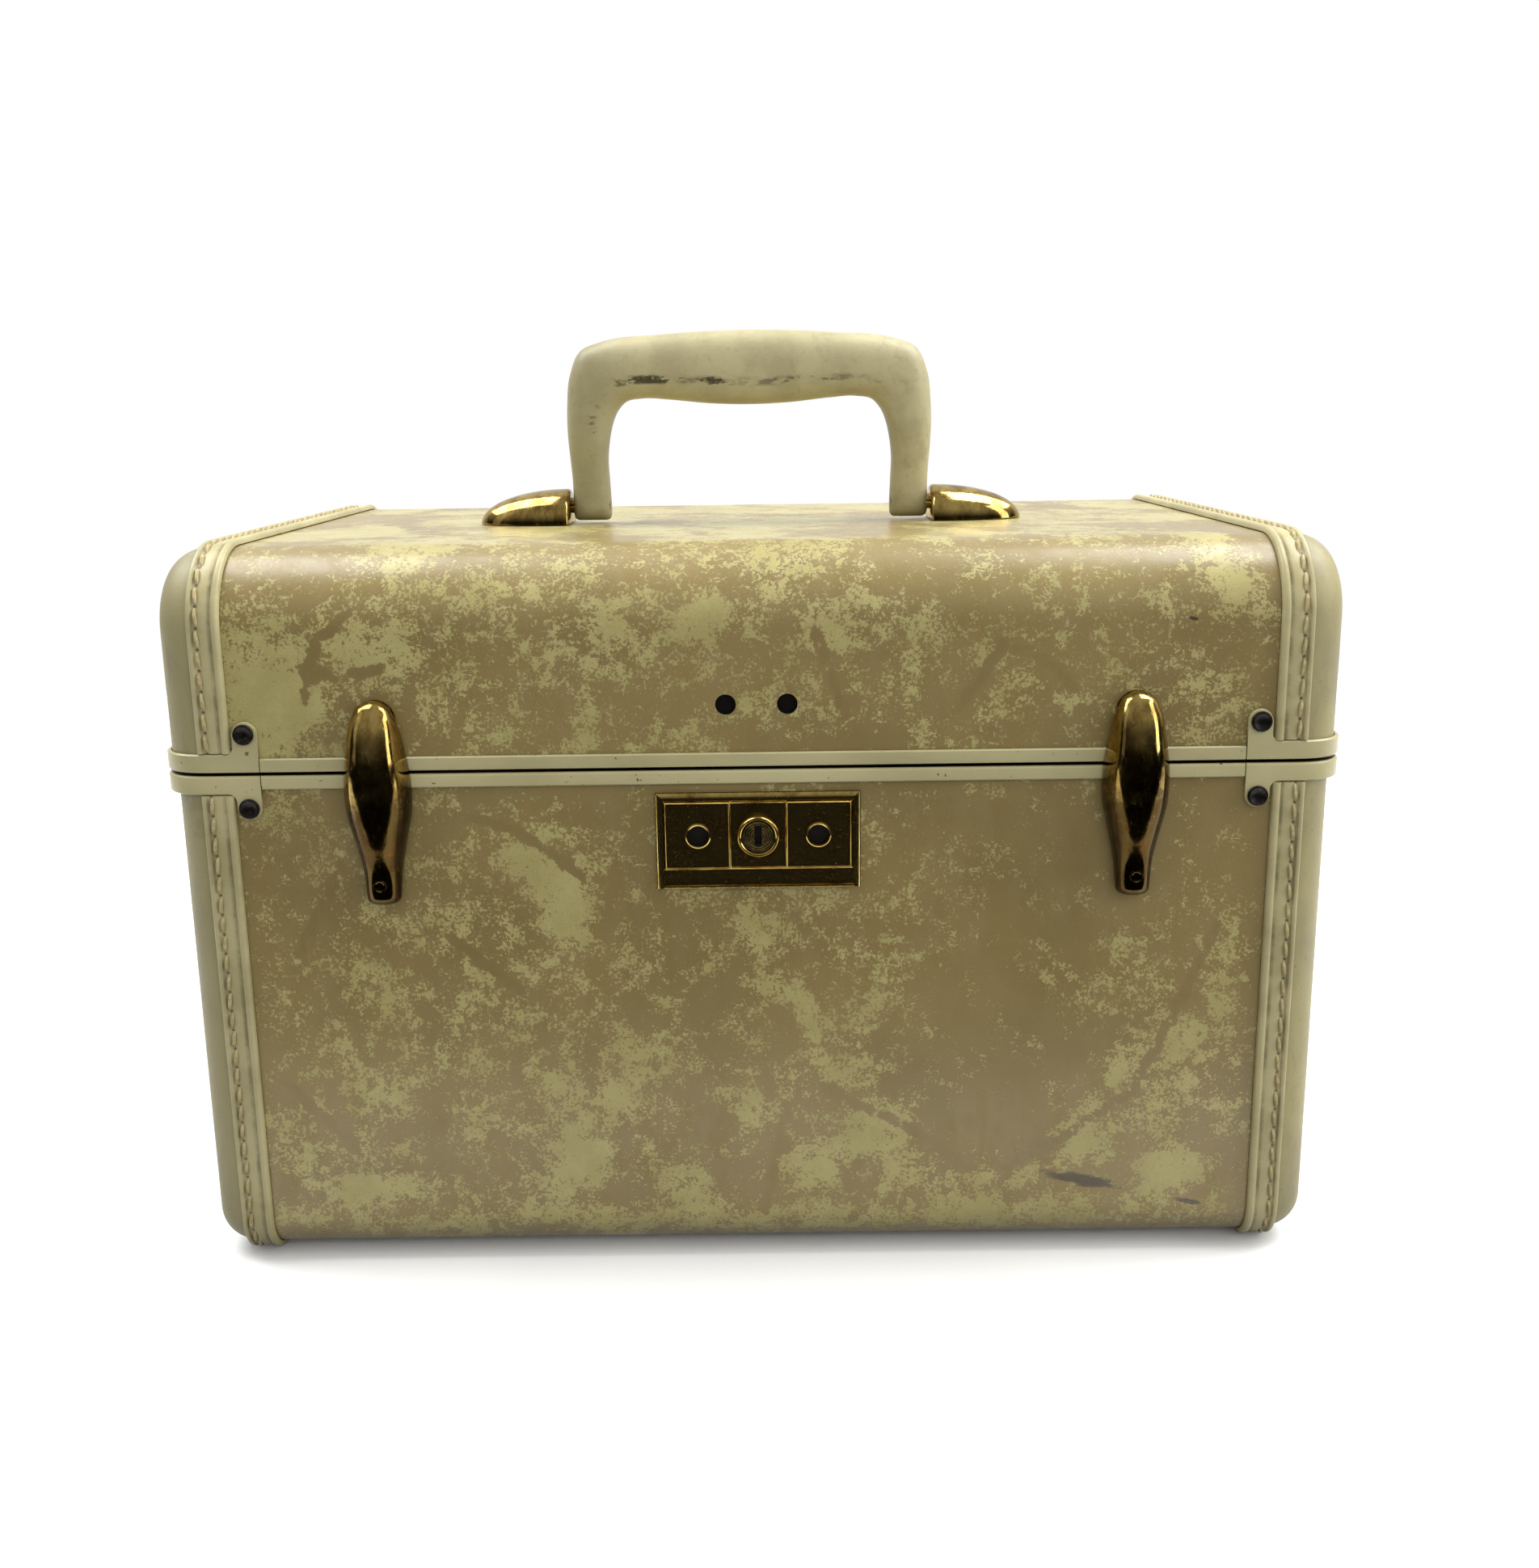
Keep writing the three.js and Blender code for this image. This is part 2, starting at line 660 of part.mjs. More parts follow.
// Shares along the lever, from the pivot to the top: place, then the dome's half width, its
// height over its own edge, and how far the edge stands off the shell.
const latchShares = [
  [0, 0.52, 0.4, 1],
  [0.14, 0.6, 0.44, 0.6],
  [0.3, 0.8, 0.68, 0.6],
  [0.42, 0.96, 0.9, 0.6],
  [0.56, 1, 1, 0.6],
  [0.78, 0.84, 0.84, 0.8],
  [0.9, 0.68, 0.6, 1],
  [0.965, 0.5, 0.36, 1],
];
const latchHalfWidth = 9.5;
const latchDome = 11.4;
const latchEdgeOut = 2.9;
const latchSquareness = 2.2; // 2 is an ellipse

// A smooth value between the rows of a table of shares.
function shareAt(table, place, column) {
  let row = 0;
  while (row + 2 < table.length && table[row + 1][0] < place) row++;
  const [low, high] = [table[row], table[row + 1]];
  const t = Math.min(Math.max((place - low[0]) / (high[0] - low[0]), 0), 1);
  const ease = t * t * (3 - 2 * t);
  return low[column] + (high[column] - low[column]) * (t * half + ease * half);
}

const leverEdgeY = (share) => frontY - latchEdgeOut * shareAt(latchShares, share, 3);

// The lever's dome: full half ellipses along its length, drawn in by the sheet when hollow.
function leverDome(x, shrink) {
  const rings = [];
  const first = -latchFootRadius / latchLength;
  const tipLength = 1 - latchTipShare;
  const shares = [];
  for (let step = 0; step < latchEndSteps; step++) {
    shares.push(first * Math.cos((step / latchEndSteps) * quarterTurn));
  }
  for (let step = 0; step <= latchSteps; step++) {
    shares.push((latchTipShare * step) / latchSteps);
  }
  for (let step = 1; step <= latchEndSteps; step++) {
    shares.push(latchTipShare + tipLength * Math.sin((step / latchEndSteps) * quarterTurn));
  }
  for (const share of shares) {
    const inner = Math.min(Math.max(share, 0), latchTipShare);
    const tip = Math.sqrt(Math.min((1 - share) / tipLength, 1));
    const below = share < 0 ? share / first : 0;
    const narrow = Math.max(Math.min(tip, (1 - below ** 4) ** 0.25), 0.3);
    const low = Math.max(Math.min(tip, Math.sqrt(1 - below ** 2)), 0.3);
    const halfWidth = latchHalfWidth * shareAt(latchShares, inner, 1) * narrow - shrink;
    const height = latchDome * shareAt(latchShares, inner, 2) * low - shrink;
    const least = first * latchLength + shrink;
    const along = Math.min(Math.max(share * latchLength, least), latchLength - shrink);
    const edge = leverEdgeY(inner);
    const behind = edge + (shrink > 0 ? overrun * half : 0);
    const ring = [new THREE.Vector3(x - halfWidth, behind, latchPivotZ + along)];
    for (let j = 0; j <= latchSides; j++) {
      const angle = (j / latchSides) * 2 * quarterTurn;
      const across = Math.abs(Math.cos(angle)) ** (2 / latchSquareness);
      const rise = Math.abs(Math.sin(angle)) ** (2 / latchSquareness);
      ring.push(
        new THREE.Vector3(
          x - halfWidth * across * Math.sign(Math.cos(angle)),
          edge - Math.max(height, shrink * half) * rise,
          latchPivotZ + along,
        ),
      );
    }
    ring.push(new THREE.Vector3(x + halfWidth, behind, latchPivotZ + along));
    if (shrink === 0) {
      ring.pop();
      ring.shift();
    }
    rings.push(ring);
  }
  return solidOf(skinOf(rings));
}

const latchPivotY = frontY - latchPivotOut;
const latchPinRadius = 0.8;
const bracketWidth = 4.8;
const bracketSheet = 0.9;
const earRadius = 1.5;
const catchWidth = 12;
const catchBelowTip = 0.2;
const catchTop = latchTop - catchBelowTip;
const catchRise = 1.5; // above the lid's rim
const catchBottom = seamZ + seamGap * half + frontRimHeight + catchRise;
const catchLip = 0.8;
const hookWidth = 5;
const hookSheet = 0.8;

for (const [end, sign] of Object.entries(sideNames)) {
  const x = latchMiddleX + sign * latchOffset;

  // Bracket: a plate on the shell above the pivot, with two ears that reach down to the pin.
  const plateBottom = latchPivotZ + latchFootRadius + 2 * fit + latchPinRadius;
  const plateTop = seamZ - seamGap - frontRimHeight - fit;
  const plateY = [frontY - fit - bracketSheet, frontY - fit];
  const plateX = [x - bracketWidth * half, x + bracketWidth * half];
  let bracket = block(plateX, plateY, [plateBottom, plateTop]);
  const earX = bracketWidth * half - bracketSheet;
  for (const ear of [-1, 1]) {
    const arm = new THREE.Shape();
    arm.absarc(latchPivotY, latchPivotZ, earRadius, 2 * quarterTurn, 3.6 * quarterTurn, false);
    arm.lineTo(plateY[1], plateBottom);
    arm.lineTo(plateY[1], plateBottom + earRadius * 3);
    arm.lineTo(plateY[0], plateBottom + earRadius * 3);
    const start = x + ear * earX - (ear < 0 ? bracketSheet : 0);
    bracket = bracket.add(sidePlate(arm, start, bracketSheet, 8));
  }
  const pinPlace = [x, latchPivotY, latchPivotZ];
  bracket = bracket.subtract(bar("x", pinPlace, latchPinRadius + fit, overrun, 16));
  addPiece(`latch_bracket_${end}`, "brass", bracket);

  // Lever, open behind, with the pin's holes in its two sides.
  const hollow = leverDome(x, latchSheet);
  let lever = leverDome(x, 0).subtract(hollow);
  lever = lever.subtract(bar("x", pinPlace, latchPinRadius + fit, overrun, 16));
  addPiece(`latch_lever_${end}`, "brass", lever);

  const pinLength = 2 * latchHalfWidth * latchShares[0][1] - latchSheet;
  addPiece(`latch_pin_${end}`, "steel", bar("x", pinPlace, latchPinRadius, pinLength, 12));

  // Catch: a round-topped plate on the lid with a lip across it.
  const plate = new THREE.Shape();
  const catchHalf = catchWidth * half;
  plate.moveTo(x - catchHalf, catchBottom);
  plate.lineTo(x + catchHalf, catchBottom);
  plate.absarc(x, catchTop - catchHalf, catchHalf, 0, 2 * quarterTurn, false);
  const lipZ = seamZ + (catchTop - seamZ) * half;
  const lip = block(
    [x - hookWidth * half, x + hookWidth * half],
    [frontY - fit - bracketSheet - catchLip, frontY - fit],
    [lipZ - catchLip, lipZ + catchLip],
  );
  const plateSolid = frontPlate(plate, frontY - fit - bracketSheet, frontY - fit, 10);
  addPiece(`latch_catch_${end}`, "brass", plateSolid.add(lip));

  // Hook: a sprung strip inside the lever, which bears on the lip of the catch.
  const hookFront = frontY - fit - bracketSheet - catchLip - fit;
  const rootShare = (seamZ - latchPivotZ) / latchLength;
  const insideWidth = latchHalfWidth * shareAt(latchShares, rootShare, 1) - latchSheet;
  const insideHeight = latchDome * shareAt(latchShares, rootShare, 2) - latchSheet;
  const aside = (hookWidth * half) / insideWidth;
  const drop = (1 - aside ** latchSquareness) ** (1 / latchSquareness);
  const rootY = leverEdgeY(rootShare) - insideHeight * drop + fit;
  const hook = block(
    [x - hookWidth * half, x + hookWidth * half],
    [hookFront - hookSheet, hookFront],
    [seamZ, lipZ + 2 * catchLip],
  ).add(
    block(
      [x - hookWidth * half, x + hookWidth * half],
      [rootY, hookFront],
      [seamZ, seamZ + hookSheet],
    ),
  );
  addPiece(`latch_hook_${end}`, "steel", hook);
}

// Handle: a moulded bail that swings on a pin in each handle cap.
const handleX = -0.5;
const handleY = -8;
const handlePivotRise = 6;
const handlePivotZ = topZ + handlePivotRise;
const handleHalfSpan = 61;
const handleRise = 56.3; // pivot to the top of the grip
const handleHalfDepth = 9.4;
const handleFootRadius = 5;
// Stations from a foot to the middle of the grip: the outer edge across and up, the inner edge
// across and up, and the half depth, as shares of half span, rise and half depth.
const handleShares = [
  [0.975, 0, 0.766, 0, 0.53],
  [0.976, 0.16, 0.772, 0.146, 0.62],
  [0.984, 0.284, 0.776, 0.258, 0.74],
  [0.992, 0.426, 0.766, 0.373, 0.86],
  [0.989, 0.577, 0.743, 0.48, 0.93],
  [0.97, 0.746, 0.709, 0.554, 0.97],
  [0.91, 0.888, 0.66, 0.602, 0.99],
  [0.789, 0.943, 0.589, 0.615, 1],
  [0.466, 0.98, 0.434, 0.608, 1],
  [0.229, 0.995, 0.213, 0.584, 1],
  [0, 1, 0, 0.576, 1],
];
const handleSides = 12;
const handleSteps = 36;
const handleSquareness = 2.5; // 2 is an ellipse, more is squarer
const handlePinRadius = 2.6;
const capInset = 0.8; // from the handle's half span in to a cap's wide end
const capBase = handleHalfSpan - capInset;
const capLength = 30.7;
const capHalfWidth = 12.6;
const capRise = 11.2;
{
  const [outer, inner, depths] = [[], [], []];
  for (const sign of [-1, 1]) {
    const rows = sign < 0 ? handleShares : [...handleShares].reverse().slice(1);
    for (const [outX, outUp, inX, inUp, depth] of rows) {
      outer.push(new THREE.Vector3(sign * outX * handleHalfSpan, 0, outUp * handleRise));
      inner.push(new THREE.Vector3(sign * inX * handleHalfSpan, 0, inUp * handleRise));
      depths.push(depth * handleHalfDepth);
    }
  }
  const outerLine = new THREE.CatmullRomCurve3(outer);
  const innerLine = new THREE.CatmullRomCurve3(inner);
  const depthAt = (share) => {
    const at = share * (depths.length - 1);
    const low = Math.min(Math.floor(at), depths.length - 2);
    return THREE.MathUtils.lerp(depths[low], depths[low + 1], at - low);
  };
  const rings = [];
  const addRing = (outEdge, inEdge, depth) => {
    const middle = outEdge.clone().add(inEdge).multiplyScalar(half);
    const across = outEdge.clone().sub(middle);
    const ring = [];
    for (let j = 0; j < handleSides; j++) {
      const angle = (j / handleSides) * 4 * quarterTurn;
      const [c, s] = [Math.cos(angle), Math.sin(angle)];
      const power = 2 / handleSquareness;
      const y = depth * Math.sign(c) * Math.abs(c) ** power;
      const out = Math.sign(s) * Math.abs(s) ** power;
      ring.push(middle.clone().addScaledVector(across, out).add(new THREE.Vector3(0, y, 0)));
    }
    rings.push(ring);
  };
  const footAngles = [0.15, 0.45, 0.75].map((share) => share * quarterTurn);
  // The feet are rounded about the pivot, so that they turn clear of the lid.
  const footRing = (station, angle) => {
    const drop = new THREE.Vector3(0, 0, -handleFootRadius * Math.cos(angle));
    const depth = handleFootRadius * Math.sin(angle);
    addRing(outer[station].clone().add(drop), inner[station].clone().add(drop), depth);
  };
  for (const angle of footAngles) footRing(0, angle);
  for (let step = 0; step <= handleSteps; step++) {
    const share = step / handleSteps;
    addRing(outerLine.getPoint(share), innerLine.getPoint(share), depthAt(share));
  }
  for (const angle of [...footAngles].reverse()) footRing(outer.length - 1, angle);
  let handle = solidOf(skinOf(rings)).translate([handleX, handleY, handlePivotZ]);
  for (const sign of Object.values(sideNames)) {
    const legShare = (handleShares[0][0] + handleShares[0][2]) * half;
    const place = [handleX + sign * legShare * handleHalfSpan, handleY, handlePivotZ];
    handle = handle.subtract(bar("x", place, handlePinRadius + fit, overrun * half, 20));
  }
  addPiece("handle", "handle", handle);

  // Handle caps: pressed brass, a quarter of a drop each, with the pin standing out of the end.
  for (const [end, sign] of Object.entries(sideNames)) {
    const dome = new THREE.SphereGeometry(1, 24, 16);
    dome.scale(capLength, capHalfWidth, capRise);
    dome.translate(sign * capBase, handleY, topZ + fit);
    const keep = block(xRangeFrom(sign, capBase), [-caseDepth, caseDepth], [topZ + fit, farAway]);
    const legInside = handleShares[0][2] * handleHalfSpan + fit;
    const pinLength = capBase - legInside + capLength * third;
    const pinMiddle = legInside + pinLength * half;
    const pin = bar("x", [sign * pinMiddle, handleY, handlePivotZ], handlePinRadius, pinLength, 18);
    const cap = solidOf(dome).intersect(keep).add(pin);
    addPiece(`handle_cap_${end}`, "brass", cap.translate([handleX, 0, 0]));
  }
}

// Mirror in the lid: a frame under the lid's lining with the glass held behind its lip.
const mirrorFromEnd = 72.9;
const mirrorFromSide = 41;
const mirrorWidth = caseLength - 2 * mirrorFromEnd;
const mirrorHeight = caseDepth - 2 * mirrorFromSide;
const mirrorCorner = 10;
const mirrorFrameWall = 3;
const mirrorLip = 3;
const mirrorGlass = 2;
{
  const ceiling = topZ - liningInside - fit;
  const depth = mirrorGlass + 2 * fit + 2 * liningWall;
  const slab = (width, height, radius, from, to) =>
    levelSlab(roundedRectangle(0, 0, width, height, radius), from, to);
  const inWidth = mirrorWidth - 2 * mirrorFrameWall;
  const inHeight = mirrorHeight - 2 * mirrorFrameWall;
  const inCorner = mirrorCorner - mirrorFrameWall;
  const pocketTop = ceiling - liningWall;
  const pocketBottom = pocketTop - mirrorGlass - 2 * fit;
  const frame = slab(mirrorWidth, mirrorHeight, mirrorCorner, ceiling - depth, ceiling)
    .subtract(slab(inWidth, inHeight, inCorner, pocketBottom, pocketTop))
    .subtract(
      slab(
        inWidth - 2 * mirrorLip,
        inHeight - 2 * mirrorLip,
        inCorner - mirrorLip,
        ceiling - depth - overrun,
        pocketTop,
      ),
    );
  addPiece("mirror_frame", "tray", frame);
  const glass = slab(
    inWidth - 2 * fit,
    inHeight - 2 * fit,
    inCorner - fit,
    pocketBottom + fit,
    pocketTop - fit,
  );
  addPiece("mirror_glass", "mirror", glass);
}

// Tray: a moulded lift-out tray on a rest at each end, with one long and three short wells.
const trayFromEnd = 12.9;
const trayFromSide = 11;
const trayLength = caseLength - 2 * trayFromEnd;
const trayDepth = caseDepth - 2 * trayFromSide;
const trayHeight = 34;
const trayWall = 2;
const trayCorner = 9;
const trayRestHeight = 4;
const trayRestWidth = 10;
const trayRestShare = 0.71; // of the case's depth
const trayRestLength = caseDepth * trayRestShare;
const trayFloorDrop = 42.5; // below the seam
const trayFloorZ = seamZ - trayFloorDrop;
const shortWells = 3;
const longWellShare = 0.42;
{
  const slab = (x, y, width, height, radius, from, to) =>
    levelSlab(roundedRectangle(x, y, width, height, radius), from, to, 4);
  const top = trayFloorZ + trayHeight;
  const floor = trayFloorZ + trayWall;
  let tray = slab(0, 0, trayLength, trayDepth, trayCorner, trayFloorZ, top);
  const insideLength = trayLength - 2 * trayWall;
  const insideDepth = trayDepth - 3 * trayWall;
  const longDepth = insideDepth * longWellShare;
  const shortDepth = insideDepth - longDepth;
  const shortLength = (insideLength - (shortWells - 1) * trayWall) / shortWells;
  const wellCorner = trayCorner - trayWall;
  const longY = -trayDepth * half + trayWall + longDepth * half;
  const shortY = trayDepth * half - trayWall - shortDepth * half;
  tray = tray.subtract(slab(0, longY, insideLength, longDepth, wellCorner, floor, top + overrun));
  for (let well = 0; well < shortWells; well++) {
    const x = -insideLength * half + shortLength * half + well * (shortLength + trayWall);
    tray = tray.subtract(slab(x, shortY, shortLength, shortDepth, wellCorner, floor, top + overrun));
  }
  addPiece("tray", "tray", tray);

  const restTop = trayFloorZ - fit;
  const liningX = halfLength - baseEndTrim - liningInside - fit;
  for (const [end, sign] of Object.entries(sideNames)) {
    const rest = block(
      xRangeFrom(sign, liningX - trayRestWidth, liningX),
      [-trayRestLength * half, trayRestLength * half],
      [restTop - trayRestHeight, restTop],
    );
    addPiece(`tray_rest_${end}`, "lining", rest);
  }
}

// Lid stay at the right end: two links joined at a knee. The two pivots and the lid's hinge make
// a parallelogram with the knee, so the links turn as far as the lid does.
const stayLink = { width: 8, sheet: 1.4, pinRadius: 1.6, headRadius: 3.2, head: 1 };
const stayBasePivot = { back: 42, down: 12 }; // from the lid's hinge
const stayLidPivot = { back: 46, up: 38 };
{
  const basePivot = [hingeY - stayBasePivot.back, seamZ - stayBasePivot.down];
  const lidPivot = [hingeY - stayLidPivot.back, seamZ + stayLidPivot.up];
  const knee = [basePivot[0] + lidPivot[0] - hingeY, basePivot[1] + lidPivot[1] - seamZ];
  const wallX = halfLength - liningInside;
  const lowerX = wallX - tongueSheet - 3 * fit - stayLink.sheet;
  const upperX = lowerX - fit - stayLink.sheet;
  const link = (from, to, x) => {
    const radius = stayLink.width * half;
    const angle = Math.atan2(to[1] - from[1], to[0] - from[0]);
    const outline = new THREE.Shape();
    outline.absarc(to[0], to[1], radius, angle - quarterTurn, angle + quarterTurn, false);
    outline.absarc(from[0], from[1], radius, angle + quarterTurn, angle + 3 * quarterTurn, false);
    return sidePlate(outline, x, stayLink.sheet);
  };
  const pinAt = ([y, z], from, to, radius) =>
    bar("x", [(from + to) * half, y, z], radius, to - from, 18);
  const hole = (place) => pinAt(place, 0, halfLength, stayLink.pinRadius + fit);
  const outer = lowerX + stayLink.sheet + fit;
  const inner = upperX - fit;

  let lower = link(basePivot, knee, lowerX).subtract(hole(basePivot));
  lower = lower.add(pinAt(knee, inner, lowerX + stayLink.sheet * half, stayLink.pinRadius));
  lower = lower.add(pinAt(knee, inner - stayLink.head, inner, stayLink.headRadius));
  addPiece("stay_link_lower", "brass", lower);
  const upper = link(lidPivot, knee, upperX).subtract(hole(lidPivot)).subtract(hole(knee));
  addPiece("stay_link_upper", "brass", upper);

  const baseWallX = wallX - baseEndTrim;
  const basePin = pinAt(basePivot, lowerX - fit - stayLink.head, baseWallX - fit, stayLink.pinRadius)
    .add(pinAt(basePivot, lowerX - fit - stayLink.head, lowerX - fit, stayLink.headRadius))
    .add(pinAt(basePivot, outer, baseWallX - fit, stayLink.headRadius));
  addPiece("stay_pin_base", "brass", basePin);
  const lidPin = pinAt(lidPivot, inner - stayLink.head, wallX - fit, stayLink.pinRadius)
    .add(pinAt(lidPivot, inner - stayLink.head, inner, stayLink.headRadius))
    .add(pinAt(lidPivot, lowerX, wallX - fit, stayLink.headRadius));
  addPiece("stay_pin_lid", "brass", lidPin);
}

export default model;
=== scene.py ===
"""Looks of a hard-shell train case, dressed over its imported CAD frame. Sizes are in millimetres and
go into the meshes in metres. +Z is up and -Y is the front."""
import json

import bmesh
import bpy
import numpy as np
from mathutils import Matrix, Vector


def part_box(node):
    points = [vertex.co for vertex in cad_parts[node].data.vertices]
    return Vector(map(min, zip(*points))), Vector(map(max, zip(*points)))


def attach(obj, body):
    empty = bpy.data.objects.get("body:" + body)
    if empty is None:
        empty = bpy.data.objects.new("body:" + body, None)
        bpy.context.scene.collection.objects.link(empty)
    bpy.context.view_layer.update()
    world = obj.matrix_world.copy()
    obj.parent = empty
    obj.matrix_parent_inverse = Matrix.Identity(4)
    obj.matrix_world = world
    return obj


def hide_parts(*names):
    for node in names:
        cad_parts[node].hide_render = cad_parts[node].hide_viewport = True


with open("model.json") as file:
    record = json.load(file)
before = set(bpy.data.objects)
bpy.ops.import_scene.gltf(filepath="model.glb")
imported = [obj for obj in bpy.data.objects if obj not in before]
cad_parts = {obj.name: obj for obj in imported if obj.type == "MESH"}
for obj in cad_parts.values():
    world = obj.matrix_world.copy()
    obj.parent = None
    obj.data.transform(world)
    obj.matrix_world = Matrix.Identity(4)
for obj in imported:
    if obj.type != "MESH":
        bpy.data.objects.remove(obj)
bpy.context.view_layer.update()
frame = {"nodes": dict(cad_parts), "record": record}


# Camera: a phone held half a metre in front of the case, a little over its lid, and tilted down.
# Its place, tilt and roll are in the case's own frame. The picture is 1904 by 1940 pixels.
mm = 0.001
picture_height = 1940
focal_pixels = 1989
camera_place = np.array([4.66, -557.61, 257.56])
camera_pitch, camera_roll = 0.2324, 0.0132  # radians down, and turned clockwise

look = np.array([0, np.cos(camera_pitch), -np.sin(camera_pitch)])
level_right = np.array([1.0, 0, 0])
level_up = np.cross(level_right, look)
across = np.cos(camera_roll) * level_right - np.sin(camera_roll) * level_up
upward = np.sin(camera_roll) * level_right + np.cos(camera_roll) * level_up
camera = bpy.data.objects.new("camera", bpy.data.cameras.new("camera"))
camera.data.lens = focal_pixels / picture_height * camera.data.sensor_width
camera.data.clip_start, camera.data.clip_end = 0.01, 50
turned = np.eye(4)
turned[:3] = np.column_stack([across, upward, -look, camera_place * mm])
camera.matrix_world = Matrix(turned)
bpy.context.scene.collection.objects.link(camera)
bpy.context.scene.camera = camera
bpy.context.scene.view_settings.view_transform = "Standard"


# Table, room and lamps: a white cloth table in a white room, with soft boxes above, at both sides
# and in front, the left one faint. In shiny faces the room behind the camera is dark.
def linear(colour):
    """A hex colour as written, sRGB, turned to linear light by the sRGB curve."""
    parts = np.array([int(colour[i:i + 2], 16) for i in (1, 3, 5)]) / 255
    curve = np.where(parts <= 0.04045, parts / 12.92, ((parts + 0.055) / 1.055) ** 2.4)
    return (*curve, 1)


def add(tree, kind, inputs=None, output=0, **settings):
    """Adds a node of that kind with its settings. An input is given a value, a colour in hex text or
    an output to link to. Gives back one output of the new node, by its place or name."""
    made = tree.nodes.new("ShaderNode" + kind)
    for name, value in settings.items():
        setattr(made, name, value)
    for name, value in (inputs or {}).items():
        if isinstance(value, bpy.types.NodeSocket):
            tree.links.new(value, made.inputs[name])
        else:
            made.inputs[name].default_value = linear(value) if isinstance(value, str) else value
    return made.outputs[output]


def new_finish(name, roughness, **settings):
    """An empty material, its node tree, its shader with plain values set, and the place on the
    object that its patterns follow."""
    finish = bpy.data.materials.new(name)
    finish.use_nodes = True
    tree = finish.node_tree
    shader = tree.nodes["Principled BSDF"]
    shader.inputs["Roughness"].default_value = roughness
    for key, value in settings.items():
        shader.inputs[key.replace("_", " ")].default_value = value
    return finish, tree, shader, add(tree, "TexCoord", output="Object")


table_cloth, tree, shader, place = new_finish("bleached cotton cloth", 0.9)
# Washed cotton, near white and softly crumpled. It shows white to the camera and in shiny faces,
# and is dull to all other light, so that it throws little up under the case.
shown = add(tree, "Math", {0: add(tree, "LightPath", output="Is Camera Ray"),
                           1: add(tree, "LightPath", output="Is Glossy Ray")}, operation="MAXIMUM")
cloth_colour = add(tree, "Mix", {0: shown, 6: "#57524a", 7: "#fafaf9"}, 2, data_type="RGBA")
crumple_size, crumple_depth, crumple_strength = 111, 4, 0.35
crumples = add(tree, "TexNoise", {"Vector": place, "Scale": 1 / (crumple_size * mm), "Detail": 3})
crumpled = add(tree, "Bump", {"Height": crumples, "Distance": crumple_depth * mm,
                              "Strength": crumple_strength})
tree.links.new(cloth_colour, shader.inputs["Base Color"])
tree.links.new(crumpled, shader.inputs["Normal"])

table_side, table_front, table_back = 1600, -250, 950
corners = np.array([(-table_side, table_front, 0), (table_side, table_front, 0),
                    (table_side, table_back, 0), (-table_side, table_back, 0)]) * mm
table_mesh = bpy.data.meshes.new("table")
table_mesh.from_pydata(corners.tolist(), [], [(0, 1, 2, 3)])
table_mesh.materials.append(table_cloth)
table = bpy.data.objects.new("table", table_mesh)
bpy.context.scene.collection.objects.link(table)

world = bpy.data.worlds.new("white room")
bpy.context.scene.world = world
world.use_nodes = True
tree = world.node_tree
sky = tree.nodes["Background"]
direction = add(tree, "TexCoord", output="Generated")
behind = add(tree, "MapRange", {"Value": add(tree, "SeparateXYZ", {0: direction}, "Y"),
                                "From Max": 0.6, "To Min": 0.015, "To Max": 0.85},
             interpolation_type="SMOOTHSTEP")
overhead = add(tree, "MapRange", {"Value": add(tree, "SeparateXYZ", {0: direction}, "Z"),
                                  "From Min": 0.05, "From Max": 0.7, "To Max": 0.42},
               interpolation_type="SMOOTHSTEP")
room = add(tree, "Math", {0: behind, 1: overhead}, operation="MAXIMUM")
from_side = add(tree, "MapRange", {"Value": add(tree, "SeparateXYZ", {0: direction}, "X"),
                                   "From Min": -1.0, "To Min": 0.5, "To Max": 0.86})
unseen = add(tree, "Mix", {0: add(tree, "LightPath", output="Is Glossy Ray"), 2: from_side, 3: room},
             data_type="FLOAT")
strength = add(tree, "Mix", {0: add(tree, "LightPath", output="Is Camera Ray"), 2: unseen, 3: 1.0},
               data_type="FLOAT")
sky.inputs["Color"].default_value = linear("#ffffff")
tree.links.new(strength, sky.inputs["Strength"])

# Place, width and length in metres, power, and whether shiny faces show the lamp.
lamps = {
    "lamp_above_left": ((-0.75, 0.15, 1.3), (0.8, 1.0), 19.0, True),
    "lamp_above_right": ((0.75, 0.15, 1.3), (0.8, 1.0), 21.0, True),
    "lamp_left": ((-1.3, -0.5, 0.8), (0.4, 1.2), 0.5, True),
    "lamp_right": ((1.3, -0.5, 0.8), (0.4, 1.2), 7.0, True),
    "lamp_front": ((0.3, -1.7, 1.0), (1.6, 0.8), 6.5, False),
}
lamps_aim = Vector((0, 0, 0.12))
for lamp_name, (spot, size, power, shows) in lamps.items():
    light = bpy.data.lights.new(lamp_name, "AREA")
    light.shape = "RECTANGLE"
    light.size, light.size_y = size
    light.energy = power
    lamp = bpy.data.objects.new(lamp_name, light)
    lamp.location = spot
    lamp.rotation_mode = "QUATERNION"
    lamp.rotation_quaternion = (lamps_aim - Vector(spot)).to_track_quat("-Z", "Y")
    lamp.visible_glossy = shows
    bpy.context.scene.collection.objects.link(lamp)


# Shells: one panel of fibreboard to each half, wrapped over the front, the top or bottom and the
# back, and faced with a marbled vinyl paper under lacquer. Two holes are open in the lid's front,
# where a hasp was riveted.
def corner_of(node, end):
    """A corner of a CAD node's box at rest, in millimetres."""
    return np.array(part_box(node)[end]) / mm


